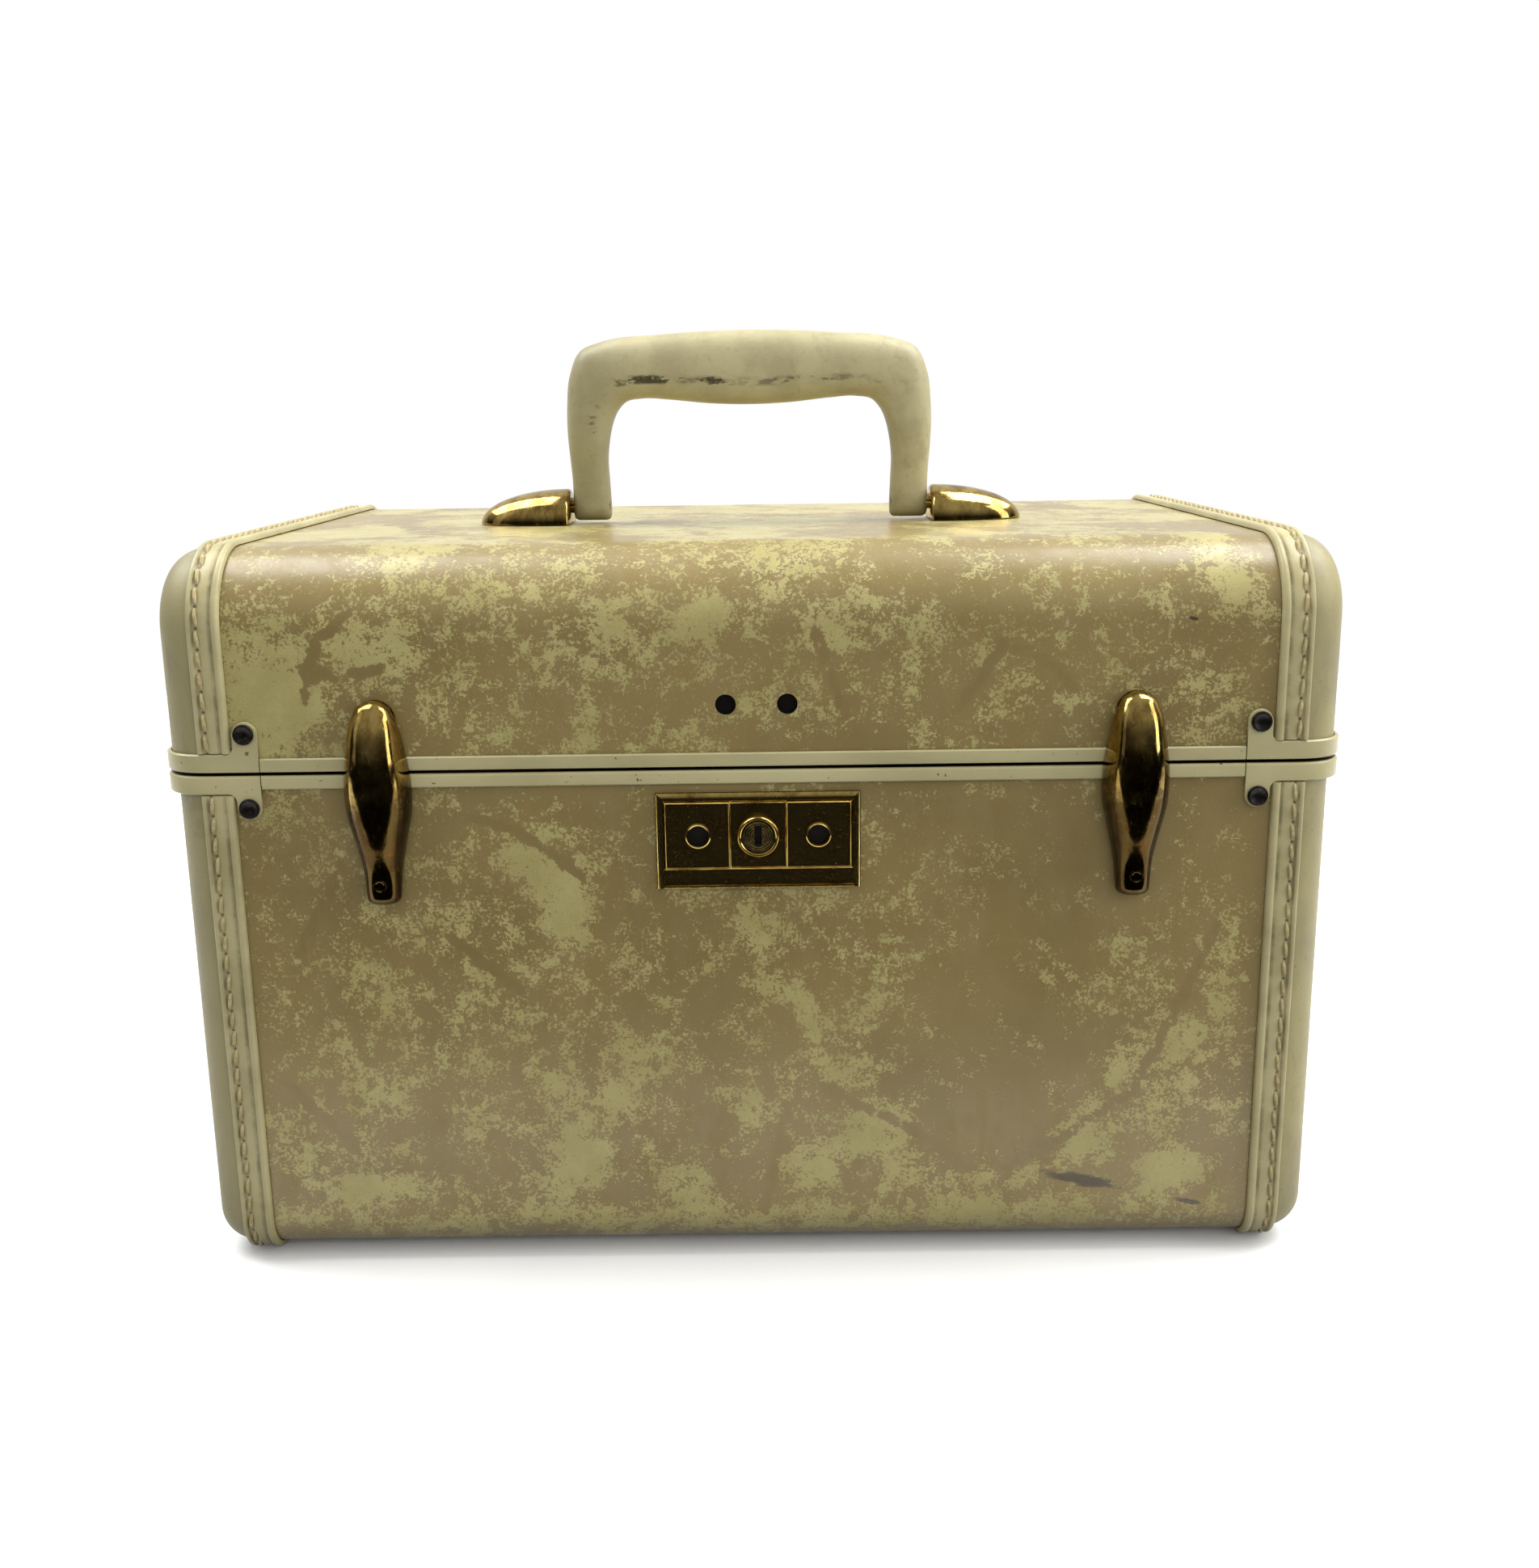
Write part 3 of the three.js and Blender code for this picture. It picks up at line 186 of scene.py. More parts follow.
quarter_turn = np.pi / 2
ends = {"left": -1, "right": 1}
halves = {"base": -1, "lid": 1}
half_depth = corner_of("lid_shell", 1)[1]
front_y = -half_depth
shell_reach = corner_of("lid_shell", 1)[0]
shell_start = {"base": corner_of("base_shell", 1)[2], "lid": corner_of("lid_shell", 0)[2]}
shell_far = {"base": corner_of("base_shell", 0)[2], "lid": corner_of("lid_shell", 1)[2]}
seam_z = (shell_start["base"] + shell_start["lid"]) / 2
corner_radius = {"base": 13.5, "lid": 22.8}
least_radius = 1.2
shell_wall, shell_step = 3.0, 2.2
hole_radius, hole_window = 3.0, 6.0
hole_x_places, hole_z = {"base": (), "lid": (-7.65, 10.05)}, 173.9


def spaced(stops, step):
    """Values about a step apart that run through every one of the stops."""
    parts = [np.linspace(low, high, max(1, round((high - low) / step)), endpoint=False)
             for low, high in zip(stops, stops[1:])]
    return np.append(np.concatenate(parts), stops[-1])


def length_along(line):
    """The length of a line of points from its start to each of them."""
    return np.concatenate([[0], np.cumsum(np.hypot(*np.diff(line, axis=0).T))])


def half_section(half, start, inset=0.0, step=6.0, arc_steps=14, stops=()):
    """Points (Y, Z) and outward normals round one half's section, from its front edge to its back
    edge: a straight wall, a quarter circle, a flat, a quarter circle and a straight wall. An inset
    draws the whole line in, and the circles' radius with it. The steps are those of the line with
    no inset."""
    side = halves[half]
    full = corner_radius[half]
    radius = max(full - inset, least_radius)
    reach = half_depth - inset
    far = shell_far[half] - side * inset
    full_turn, turn = shell_far[half] - side * full, far - side * radius
    wall = spaced(sorted([start, *stops, full_turn]), step)[::side]
    wall = start + (wall - start) * (turn - start) / (full_turn - start)
    flat = spaced([full - half_depth, half_depth - full], step)[1:-1]
    flat = flat * (reach - radius) / (half_depth - full)
    arc = np.linspace(0, quarter_turn, arc_steps + 1)[1:-1]
    sweep, rise = radius * np.cos(arc), radius * np.sin(arc)
    y = np.concatenate([np.full(len(wall), -reach), radius - reach - sweep, [radius - reach], flat,
                        [reach - radius], reach - radius + rise, np.full(len(wall), reach)])
    z = np.concatenate([wall, turn + side * rise, [far], np.full(len(flat), far), [far],
                        turn + side * sweep, wall[::-1]])
    ones, zeros = np.ones(len(wall)), np.zeros(len(wall))
    normal_y = np.concatenate([-ones, -np.cos(arc), [0], 0 * flat, [0], np.sin(arc), ones])
    normal_z = side * np.concatenate([zeros, np.sin(arc), [1], 0 * flat + 1, [1], np.cos(arc), zeros])
    return np.column_stack([y, z]), np.column_stack([normal_y, normal_z])


def grid_faces(rows, columns, closed=False):
    """Four-cornered faces over a grid of points, row by row. A closed grid joins its last column
    to its first."""
    row, column = np.meshgrid(np.arange(rows - 1), np.arange(columns - (not closed)), indexing="ij")
    following = (column + 1) % columns
    corners = [row * columns + column, (row + 1) * columns + column,
               (row + 1) * columns + following, row * columns + following]
    return np.stack(corners, axis=-1).reshape(-1, 4)


def piece(name, points, faces, material, body, nodes=(), wall=0.0, values=None, crease=35,
          inside=None):
    """A mesh from points in millimetres and faces, with doubles merged and faces turned outwards:
    all are flipped if their areas times their distances from a point inside, taken along their
    normals, add up to less than nothing. Without such a point the normals are first made alike."""
    mesh = bpy.data.meshes.new(name)
    mesh.from_pydata((points.reshape(-1, 3) * mm).tolist(), [], [list(face) for face in faces])
    for key, column in (values or {}).items():
        layer = mesh.attributes.new(key, "FLOAT", "POINT")
        layer.data.foreach_set("value", np.asarray(column, np.float32).ravel())
    shape = bmesh.new()
    shape.from_mesh(mesh)
    bmesh.ops.remove_doubles(shape, verts=shape.verts, dist=0.002 * mm)
    bmesh.ops.dissolve_degenerate(shape, edges=shape.edges, dist=0.001 * mm)
    if inside is None:
        bmesh.ops.recalc_face_normals(shape, faces=shape.faces)
    shape.to_mesh(mesh)
    shape.free()
    middles, normals = np.zeros((2, len(mesh.polygons), 3))
    areas = np.zeros(len(mesh.polygons))
    mesh.polygons.foreach_get("center", middles.reshape(-1))
    mesh.polygons.foreach_get("normal", normals.reshape(-1))
    mesh.polygons.foreach_get("area", areas)
    outward = ((middles - np.array(inside or (0, 0, 0)) * mm) * normals).sum(axis=1)
    if outward @ areas < 0:
        mesh.flip_normals()
    mesh.shade_smooth()
    mesh.set_sharp_from_angle(angle=np.radians(crease))
    mesh.materials.append(material)
    made = bpy.data.objects.new(name, mesh)
    bpy.context.scene.collection.objects.link(made)
    if wall:
        thick = made.modifiers.new("wall", "SOLIDIFY")
        thick.thickness = wall * mm
        thick.offset = -1
        # The sheet's own edges stay sharp, so that its faces and its cut edge shade apart.
        owners = np.zeros(len(mesh.loops), np.int32)
        mesh.loops.foreach_get("edge_index", owners)
        sharp = np.zeros(len(mesh.edges), bool)
        mesh.edges.foreach_get("use_edge_sharp", sharp)
        free = np.bincount(owners, minlength=len(sharp)) == 1
        mesh.edges.foreach_set("use_edge_sharp", sharp | free)
    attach(made, body)
    if nodes:
        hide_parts(*nodes)


def patches(tree, place, size, step, top=1.0, detail=4, roughness=0.55, stretch=(1, 1, 1),
            distortion=0):
    """Patches of noise about a size in millimetres, drawn out along an axis whose stretch is below
    1: nothing where the noise is under the step's low end, rising smoothly to top at its high end."""
    drawn_out = add(tree, "VectorMath", {0: place, 1: stretch}, operation="MULTIPLY")
    noise = add(tree, "TexNoise", {"Vector": drawn_out, "Scale": 1 / (size * mm), "Detail": detail,
                                   "Roughness": roughness, "Distortion": distortion})
    return add(tree, "MapRange", {"Value": noise, "From Min": step[0], "From Max": step[1],
                                  "To Max": top}, interpolation_type="SMOOTHSTEP")


def coat(tree, place, colour, over, size, step, top=1.0, **more):
    """A colour with another laid over it in patches, which are given the same values as above."""
    share = patches(tree, place, size, step, top, **more)
    return add(tree, "Mix", {0: share, 6: colour, 7: over}, 2, data_type="RGBA")


def give_face(tree, shader, place, colour, grain, depth, detail=3):
    """Joins a colour to a shader, with a relief of noise whose grains are about a size in
    millimetres, and whose whole range stands for a depth in millimetres."""
    noise = add(tree, "TexNoise", {"Vector": place, "Scale": 1 / (grain * mm), "Detail": detail,
                                   "Roughness": 0.55})
    relief = add(tree, "Bump", {"Height": noise, "Distance": depth * mm})
    tree.links.new(colour, shader.inputs["Base Color"])
    tree.links.new(relief, shader.inputs["Normal"])


# Cream drifts of the marbling on the front: middle (X, Z), half width, half height, lean and
# strength, all in millimetres but the last two.
front_drifts = [
    (-90, 75, 85, 95, 0.0, 0.28), (14, 70, 36, 60, 0.0, 0.3), (128, 60, 26, 66, 0.0, 0.3),
    (6, 124, 52, 26, 0.0, 0.34), (0, 13, 200, 8, 0.0, 0.5), (76, 14, 40, 8, 0.0, 0.6),
    (-60, 190, 120, 44, 0.0, 0.3), (90, 185, 100, 40, 0.0, 0.24),
    (-138, 176, 20, 26, 0.0, 0.78), (-110, 190, 16, 11, 0.0, 0.73), (-42, 197, 9, 9, 0.0, 0.6),
    (-14, 198, 10, 10, 0.0, 0.64), (26, 197, 16, 9, 0.2, 0.6), (52, 196, 14, 8, 0.0, 0.45),
    (28, 178, 36, 12, 0.0, 0.32), (126, 176, 22, 20, 0.0, 0.32), (138, 205, 9, 11, 0.2, 0.6),
    (-66, 206, 20, 8, 0.0, 0.45), (-120, 163, 20, 6, 0.0, 0.4),
    (-56, 115, 10, 19, 0.1, 0.8), (-66, 130, 15, 9, -0.3, 0.67), (-56, 32, 13, 15, 0.0, 0.8),
    (-42, 54, 9, 13, 0.0, 0.66), (-34, 66, 14, 12, 0.1, 0.5), (-84, 128, 10, 9, 0.0, 0.42),
    (-58, 56, 10, 12, 0.0, 0.48), (0, 108, 9, 10, 0.1, 0.55), (2, 92, 11, 14, 0.2, 0.42),
    (0, 50, 9, 8, 0.0, 0.55), (14, 80, 8, 15, 0.25, 0.55), (24, 61, 13, 9, 0.0, 0.62),
    (14, 30, 12, 9, 0.0, 0.67), (34, 41, 13, 11, 0.0, 0.69), (42, 28, 12, 9, 0.0, 0.64),
    (38, 97, 10, 8, 0.0, 0.45), (70, 24, 22, 6, 0.0, 0.5), (100, 40, 10, 14, -0.2, 0.67),
    (112, 60, 10, 12, 0.0, 0.52), (112, 98, 9, 8, 0.0, 0.42), (126, 69, 9, 14, -0.3, 0.64),
    (126, 27, 13, 10, 0.0, 0.76), (-112, 90, 11, 16, 0.2, 0.45), (-112, 56, 13, 13, 0.0, 0.5),
    (-118, 25, 24, 6, 0.0, 0.73), (-140, 144, 10, 8, 0.0, 0.55), (-140, 40, 10, 14, 0.0, 0.42),
    (-84, 82, 11, 24, 0.1, 0.32), (140, 84, 8, 11, -0.3, 0.48), (141, 42, 9, 12, 0.0, 0.36),
    (-24, 28, 10, 9, 0.0, 0.62), (140, 106, 8, 10, -0.4, 0.36), (98, 88, 12, 12, 0.2, 0.26),
    (38, 78, 14, 12, 0.0, 0.26), (-138, 84, 9, 18, 0.1, 0.28),
]
# Tan veins that cut through the cream: each runs through its points (X, Z).
front_veins = [
    [(-84, 142), (-70, 138), (-58, 130), (-50, 122)], [(16, 213), (18, 195), (23, 180), (27, 170)],
    [(72, 191), (66, 182), (58, 171)], [(72, 191), (84, 186), (92, 178)],
    [(20, 56), (34, 48), (50, 40), (64, 29)], [(136, 106), (126, 80), (113, 53), (92, 38), (76, 29)],
    [(-100, 214), (-112, 204), (-124, 192), (-128, 176)], [(-143, 60), (-132, 48), (-122, 36)],
    [(9, 50), (5, 32), (1, 14)], [(-121, 128), (-128, 114), (-136, 100)],
    [(-90, 105), (-80, 96), (-70, 88)], [(-128, 186), (-118, 183), (-104, 186)],
]
vein_reach = 30.0
# Dark scuffs on the front: middle (X, Z), half length, half width and fall to the right in radians.
front_scuffs = [(99, 24.2, 14, 2.4, 0.2), (132, 16.5, 5.4, 1.1, 0.19), (125.3, 196.9, 1.8, 0.6, 0.2)]
scuff_reach = 40.0
scattered_drifts = 70
random = np.random.default_rng(7)


def drift(x, up, middle_x, middle_up, half_x, half_up, lean, strength):
    """A soft leaning ellipse: strength times a bell of the distance in half sizes."""
    sideways = (x - middle_x + lean * (up - middle_up)) / half_x
    upwards = (up - middle_up) / half_up
    return strength * np.exp(-0.9 * (sideways ** 2 + upwards ** 2))


def line_distance(x, z, line):
    """The distance from each point to a broken line, no more than the veins' reach: that to the
    nearest point of each stretch, found by dropping a perpendicular on it."""
    near = np.full(x.shape, vein_reach)
    for (from_x, from_z), (to_x, to_z) in zip(line, line[1:]):
        run, rise = to_x - from_x, to_z - from_z
        along = np.clip(((x - from_x) * run + (z - from_z) * rise) / (run ** 2 + rise ** 2), 0, 1)
        near = np.minimum(near, np.hypot(x - from_x - along * run, z - from_z - along * rise))
    return near


def marbling(half, x, y, z, length):
    """Cream strength over a panel and the distance to the nearest vein: the listed ones on the
    front, and scattered drifts over the rest, by X and the length round the panel."""
    share = np.clip((y + half_depth) / corner_radius[half], 0, 1)
    cream, rest = np.zeros(x.shape), np.zeros(x.shape)
    for row in front_drifts:
        cream = np.maximum(cream, drift(x, z, *row))
    for _ in range(scattered_drifts):
        row = (random.uniform(-155, 155), random.uniform(40, length.max()), random.uniform(8, 24),
               random.uniform(12, 34), random.uniform(-0.5, 0.5), random.uniform(0.5, 1))
        rest = np.maximum(rest, drift(x, length, *row))
    far = np.min([line_distance(x, z, line) for line in front_veins], axis=0) + vein_reach * share
    return {"cream": cream * (1 - share) + rest * share, "vein": far}


shell_finish, tree, shader, place = new_finish("lacquered marbled vinyl paper", 0.4,
                                               Coat_Weight=0.35, Coat_Roughness=0.28)
# Satin lacquer over a printed skin: it mottles in two tones with speckled edges, and the lacquer
# is rubbed dull in upright streaks and has a faint orange peel. Clouds of three sizes are added to
# the drifts, and cream shows where the sum is a little above the clouds' mean.
wobble_size, wobble_reach = 5, 5
wobble = add(tree, "TexNoise", {"Vector": place, "Scale": 1 / (wobble_size * mm), "Detail": 4,
                                "Roughness": 0.55})
wobble = add(tree, "Math", {0: wobble, 1: wobble_reach, 2: -wobble_reach / 2},
             operation="MULTIPLY_ADD")
vein_far = add(tree, "Attribute", output="Fac", attribute_name="vein")
vein_far = add(tree, "Math", {0: vein_far, 1: wobble}, operation="ADD")
veins = add(tree, "MapRange", {"Value": vein_far, "From Min": 2.2, "From Max": 0.5},
            interpolation_type="SMOOTHSTEP")
cloud_shares = {13: 1.9, 3.8: 1.7, 1.0: 2.2}
total = add(tree, "Attribute", output="Fac", attribute_name="cream")
for size, share in cloud_shares.items():
    cloud = add(tree, "TexNoise", {"Vector": place, "Scale": 1 / (size * mm), "Detail": 7,
                                   "Roughness": 0.74})
    total = add(tree, "Math", {0: cloud, 1: share, 2: total}, operation="MULTIPLY_ADD")
total = add(tree, "Math", {0: veins, 1: -0.7, 2: total}, operation="MULTIPLY_ADD")
mean = sum(cloud_shares.values()) / 2
patch = add(tree, "MapRange", {"Value": total, "From Min": mean + 0.34, "From Max": mean + 0.43,
                               "To Max": 0.92}, interpolation_type="SMOOTHSTEP")
pale = coat(tree, place, "#a59b60", "#b1a76c", 14, (0.35, 0.65), detail=5, roughness=0.6)
tan = coat(tree, place, "#817040", "#8b7948", 45, (0.35, 0.65), roughness=0.6)
marbled = add(tree, "Mix", {0: patch, 6: tan, 7: pale}, 2, data_type="RGBA")
speckled = coat(tree, place, marbled, "#6b5a36", 0.55, (0.3, 0.7), 0.16, detail=2, roughness=0.5)
faint_veins = add(tree, "Math", {0: veins, 1: 0.22}, operation="MULTIPLY")
shell_colour = add(tree, "Mix", {0: faint_veins, 6: speckled, 7: "#6f5c36"}, 2, data_type="RGBA")
streak_size = 1.5
drawn_out = add(tree, "VectorMath", {0: place, 1: (0.2, 1, 1)}, operation="MULTIPLY")
streaks = add(tree, "TexNoise", {"Vector": drawn_out, "Scale": 1 / (streak_size * mm), "Detail": 6,
                                 "Roughness": 0.75})
for x, z, half_length, half_width, fall in front_scuffs:
    spot = add(tree, "Mapping", {0: place, "Location": (x * mm, front_y * mm, z * mm),
                                 "Rotation": (0, fall, 0),
                                 "Scale": (half_length * mm, scuff_reach * mm, half_width * mm)},
               vector_type="TEXTURE")
    far = add(tree, "VectorMath", {0: spot}, "Value", operation="LENGTH")
    ragged = add(tree, "Math", {0: streaks, 1: 1.6, 2: far}, operation="MULTIPLY_ADD")
    scuff = add(tree, "MapRange", {"Value": ragged, "From Min": 1.8, "From Max": 1.35,
                                   "To Max": 0.85}, interpolation_type="SMOOTHSTEP")
    shell_colour = add(tree, "Mix", {0: scuff, 6: shell_colour, 7: "#31291c"}, 2, data_type="RGBA")
rubbed = patches(tree, place, 6, (0.42, 0.7), 0.22, 6, 0.7, (1, 1, 0.35))
rough = add(tree, "Math", {0: rubbed, 1: 0.33}, operation="ADD")
peel_size, peel_depth = 1.1, 0.05
peel = add(tree, "TexNoise", {"Vector": place, "Scale": 1 / (peel_size * mm), "Detail": 2,
                              "Roughness": 0.55})
cream_rise = add(tree, "Math", {0: patch, 1: 0.27}, operation="MULTIPLY")
height = add(tree, "Math", {0: peel, 1: 0.5, 2: cream_rise}, operation="MULTIPLY_ADD")
relief = add(tree, "Bump", {"Height": height, "Distance": peel_depth * mm})
tree.links.new(shell_colour, shader.inputs["Base Color"])
tree.links.new(rough, shader.inputs["Roughness"])
tree.links.new(relief, shader.inputs["Normal"])

# Lines 1 mm apart run through a square window round each hole.
window = np.arange(-hole_window, hole_window + 0.5)
for half, hole_places in hole_x_places.items():
    hole_lines = list(window + hole_z) if hole_places else []
    hole_stops = [x for hole_x in hole_places for x in window + hole_x]
    section, _ = half_section(half, shell_start[half], step=shell_step, stops=hole_lines)
    x_lines = spaced([-shell_reach, *hole_stops, shell_reach], shell_step)
    x = np.broadcast_to(x_lines[:, None], (len(x_lines), len(section)))
    y = np.broadcast_to(section[:, 0], x.shape)
    z = np.broadcast_to(section[:, 1], x.shape)
    values = marbling(half, x, y, z, np.broadcast_to(length_along(section), x.shape))
    faces = grid_faces(*x.shape)
    for hole_x in hole_places:
        # A square ring of points moves on to the hole's circle, and the rings round it follow.
        beside, above = x - hole_x, z - hole_z
        ring = np.maximum(np.abs(beside), np.abs(above))
        inner = (ring < hole_window) & (y < 0)
        rounder = np.where(inner & (ring > 0), ring / np.maximum(np.hypot(beside, above), 1e-6), 1)
        share = np.clip((ring - hole_radius) / (hole_window - hole_radius), 0, 1)
        blend = share + (1 - share) * rounder
        gone = (ring < hole_radius - 0.2) & (y < 0)
        x = np.where(inner, hole_x + beside * blend, x)
        z = np.where(inner, hole_z + above * blend, z)
        faces = faces[~gone.ravel()[faces].any(axis=1)]
    points = np.stack([x, y, z], axis=-1).reshape(-1, 3)
    used, faces = np.unique(faces, return_inverse=True)
    piece(f"{half}_panel", points[used], faces.reshape(-1, 4), shell_finish, half,
          [f"{half}_shell"], wall=shell_wall, inside=(0, 0, seam_z),
          values={key: column.ravel()[used] for key, column in values.items()})

shade_pit_finish, tree, shader, place = new_finish("painted shade with lint", 0.9)
# Painted shade at the bottom of small holes and slots: matt and near black, with brown lint.
lint_size = 1.0
lint = add(tree, "TexNoise", {"Vector": place, "Scale": 1 / (lint_size * mm), "Detail": 3,
                              "Roughness": 0.55})
shade_pit_colour = add(tree, "Mix", {0: lint, 6: "#0b0906", 7: "#1c1710"}, 2, data_type="RGBA")
tree.links.new(shade_pit_colour, shader.inputs["Base Color"])


def turned_part(name, profile, x, z, material, body, nodes=(), segments=40, y=front_y):
    """A profile of (radius, height in front of y) turned about a line along Y."""
    radius, height = np.array(profile, float).T
    angle = np.linspace(0, 2 * np.pi, segments + 1)[:-1]
    ring_x = x + radius[:, None] * np.cos(angle)
    ring_z = z + radius[:, None] * np.sin(angle)
    ring_y = np.broadcast_to((y - height)[:, None], ring_x.shape)
    points = np.stack([ring_x, ring_y, ring_z], axis=-1)
    piece(name, points, grid_faces(*ring_x.shape, closed=True), material, body, nodes)


# A black cup behind each open hole closes the view into the lid: painted shade in place of the board
# behind.
hole_shade_cup = [(0, -3.25), (3.2, -3.25), (3.2, -3.05), (2.98, -3.0), (2.98, -0.5), (2.9, -0.5),
            (2.9, -2.6), (0, -2.6)]
for number, hole_x in enumerate(hole_x_places["lid"]):
    turned_part(f"hasp_hole_cup_{number}", hole_shade_cup, hole_x, hole_z, shade_pit_finish, "lid")


# End caps: deep-drawn cream fibre, one over each end of each half. The edge is rolled over in a
# fat curve, and the skin is rubbed grey by hands and other luggage.
end_radius, end_power, cap_wall, joint_gap = 15.0, 2 / 2.5, 2.2, 0.3
cap_start = shell_reach + joint_gap
cap_end = {"base": corner_of("base_cap_right", 1)[0], "lid": corner_of("lid_cap_right", 1)[0]}
left_shade_from, left_shade_full = -152, -168

cap_finish, tree, shader, place = new_finish("vulcanised fibre, cream, rubbed", 0.5)
# Hard paper fibre, dyed in the mass and drawn to shape: matt, greyed in drifts and darker where it
# is knocked. The left end is painted darker, as shade.
sideways = add(tree, "SeparateXYZ", {0: place}, "X")
left_shade = add(tree, "MapRange", {"Value": sideways, "From Min": left_shade_from * mm,
                                    "From Max": left_shade_full * mm, "To Max": 0.35},
                 interpolation_type="SMOOTHSTEP")
greyed = coat(tree, place, "#9d9468", "#857d5c", 30, (0.4, 0.68), detail=6, roughness=0.62,
              stretch=(1, 1, 0.5))
smeared = coat(tree, place, greyed, "#6c654c", 11, (0.56, 0.74), 0.45, detail=5, roughness=0.6,
               stretch=(1, 1, 0.4), distortion=0.8)
bloomed = coat(tree, place, smeared, "#aaa590", 22, (0.56, 0.68), 0.5, detail=6, roughness=0.7,
               distortion=0.6)
flecked = coat(tree, place, bloomed, "#514a36", 1.6, (0.64, 0.7), 0.6, roughness=0.7)
# Painted shade: towards the left end the colour is mixed to a darker tone.
cap_colour = add(tree, "Mix", {0: left_shade, 6: flecked, 7: "#6c654c"}, 2, data_type="RGBA")
give_face(tree, shader, place, cap_colour, 0.9, 0.05)

for half in halves:
    roll = np.linspace(0, quarter_turn, 19)
    roll_x = cap_end[half] - end_radius + end_radius * np.sin(roll) ** end_power
    roll_inset = end_radius - end_radius * np.abs(np.cos(roll)) ** end_power
    keep = roll_x > cap_start
    first_inset = np.interp(cap_start, roll_x[keep], roll_inset[keep])
    roll_x = np.concatenate([[cap_start], roll_x[keep]])
    roll_inset = np.concatenate([[first_inset], roll_inset[keep]])
    rings = []
    for ring_x, inset in zip(roll_x, roll_inset):
        line, _ = half_section(half, shell_start[half], inset, step=7)
        rings.append(np.column_stack([np.full(len(line), ring_x), line]))
    last = rings[-1]
    middle = np.array([roll_x[-1], 0, shell_start[half]])
    rings += [middle + (last - middle) * share for share in (0.82, 0.6, 0.35, 0.0)]
    grid = np.array(rings)
    for end, sign in ends.items():
        piece(f"{half}_cap_skin_{end}", grid * (sign, 1, 1), grid_faces(*grid.shape[:2]), cap_finish,
              half, [f"{half}_cap_{end}"], wall=cap_wall,
              inside=(sign * cap_start, 0, seam_z))


# Bindings: vinyl strips over the joint of panel and cap, with a round bead at the inner edge, a
# sunk seam of tan thread and a low lip at the outer edge.
binding_from = corner_of("lid_binding_right", 0)[0]
binding_start = {"base": corner_of("base_binding_right", 1)[2],
                 "lid": corner_of("lid_binding_right", 0)[2]}
bead, strip, lip, binding_width = 2.0, 1.3, 1.7, 9.4
bead_groove, lip_groove = 2.9, 7.7
stitch_across, stitch_pitch, stitch_half = 6.7, 6.0, 2.75
thread_radius, thread_rise, thread_dive = 0.62, 1.4, 0.8
stitch_lean, stitch_jitter = 0.3, 0.15

binding_finish, tree, shader, place = new_finish("calendered vinyl, cream", 0.42)
# Soft vinyl, rolled to a satin face: dirt sits in its two grooves, with a dark needle hole between
# each stitch and the next.
along = add(tree, "Attribute", output="Fac", attribute_name="along")
over = add(tree, "Attribute", output="Fac", attribute_name="across")
past_groove = add(tree, "Math", {0: over, 1: bead_groove}, operation="SUBTRACT")
from_groove = add(tree, "Math", {0: past_groove, 1: (lip_groove - bead_groove) / 2},
                  operation="PINGPONG")
near_groove = add(tree, "MapRange", {"Value": from_groove, "From Min": 0.8, "From Max": 0.1},
                  interpolation_type="SMOOTHSTEP")
grime = patches(tree, place, 9, (0.35, 0.65), 0.6, 5)
grime = add(tree, "Math", {0: near_groove, 1: grime}, operation="MULTIPLY")
from_hole = add(tree, "Math", {0: along, 1: stitch_pitch / 2}, operation="PINGPONG")
spot = add(tree, "CombineXYZ", {0: from_hole, 1: over})
hole_far = add(tree, "VectorMath", {0: spot, 1: (0, stitch_across, 0)}, "Value",
               operation="DISTANCE")
needle = add(tree, "MapRange", {"Value": hole_far, "From Min": 0.75, "From Max": 0.3,
                                "To Max": 0.75}, interpolation_type="SMOOTHSTEP")
worn = coat(tree, place, "#b0a77c", "#9c9369", 18, (0.35, 0.7), detail=5, roughness=0.6)
grimy = add(tree, "Mix", {0: grime, 6: worn, 7: "#655b3c"}, 2, data_type="RGBA")
vinyl_colour = add(tree, "Mix", {0: needle, 6: grimy, 7: "#3d3220"}, 2, data_type="RGBA")
give_face(tree, shader, place, vinyl_colour, 1.4, 0.04)

thread_finish, tree, shader, place = new_finish("waxed linen thread, tan", 0.7)
# Twisted yarn drawn through wax: pale tan, darker in short lengths, with a fibrous grain of 0.5 mm.
thread_colour = coat(tree, place, "#b9ab7e", "#9c8d62", 1.6, (0.3, 0.7), detail=3)
give_face(tree, shader, place, thread_colour, 0.5, 0.12, 2)

bead_arc, lip_arc = np.linspace(0, np.pi, 11), np.linspace(0, np.pi, 7)
# The strip's outline: place across it from the inner edge, and height over the panel.
binding_line = np.concatenate([
    [[0.0, 0.3], [0.0, 0.8]],
    np.column_stack([1.25 - 1.2 * np.cos(bead_arc), 0.9 + (bead - 0.9) * np.sin(bead_arc)]),
    [[2.7, 1.0], [3.1, 1.15], [3.9, strip], [5.4, strip], [5.9, 1.15], [6.3, 0.95], [6.9, 0.85],
     [7.4, 1.0], [lip_groove, 1.15]],
    np.column_stack([8.55 - 0.8 * np.cos(lip_arc), 1.2 + (lip - 1.2) * np.sin(lip_arc)]),
    [[binding_width, 0.9], [binding_width, 0.3]],
])
stitch_turn = np.linspace(0, 2 * np.pi, 7)[:-1]
stitch_share = np.linspace(-1, 1, 7)


def tube_faces(rows, columns):
    """The faces of a tube over a grid of points, with one face over each end."""
    caps = [list(range(columns)), list(range((rows - 1) * columns, rows * columns))]
    return grid_faces(rows, columns, closed=True).tolist() + caps


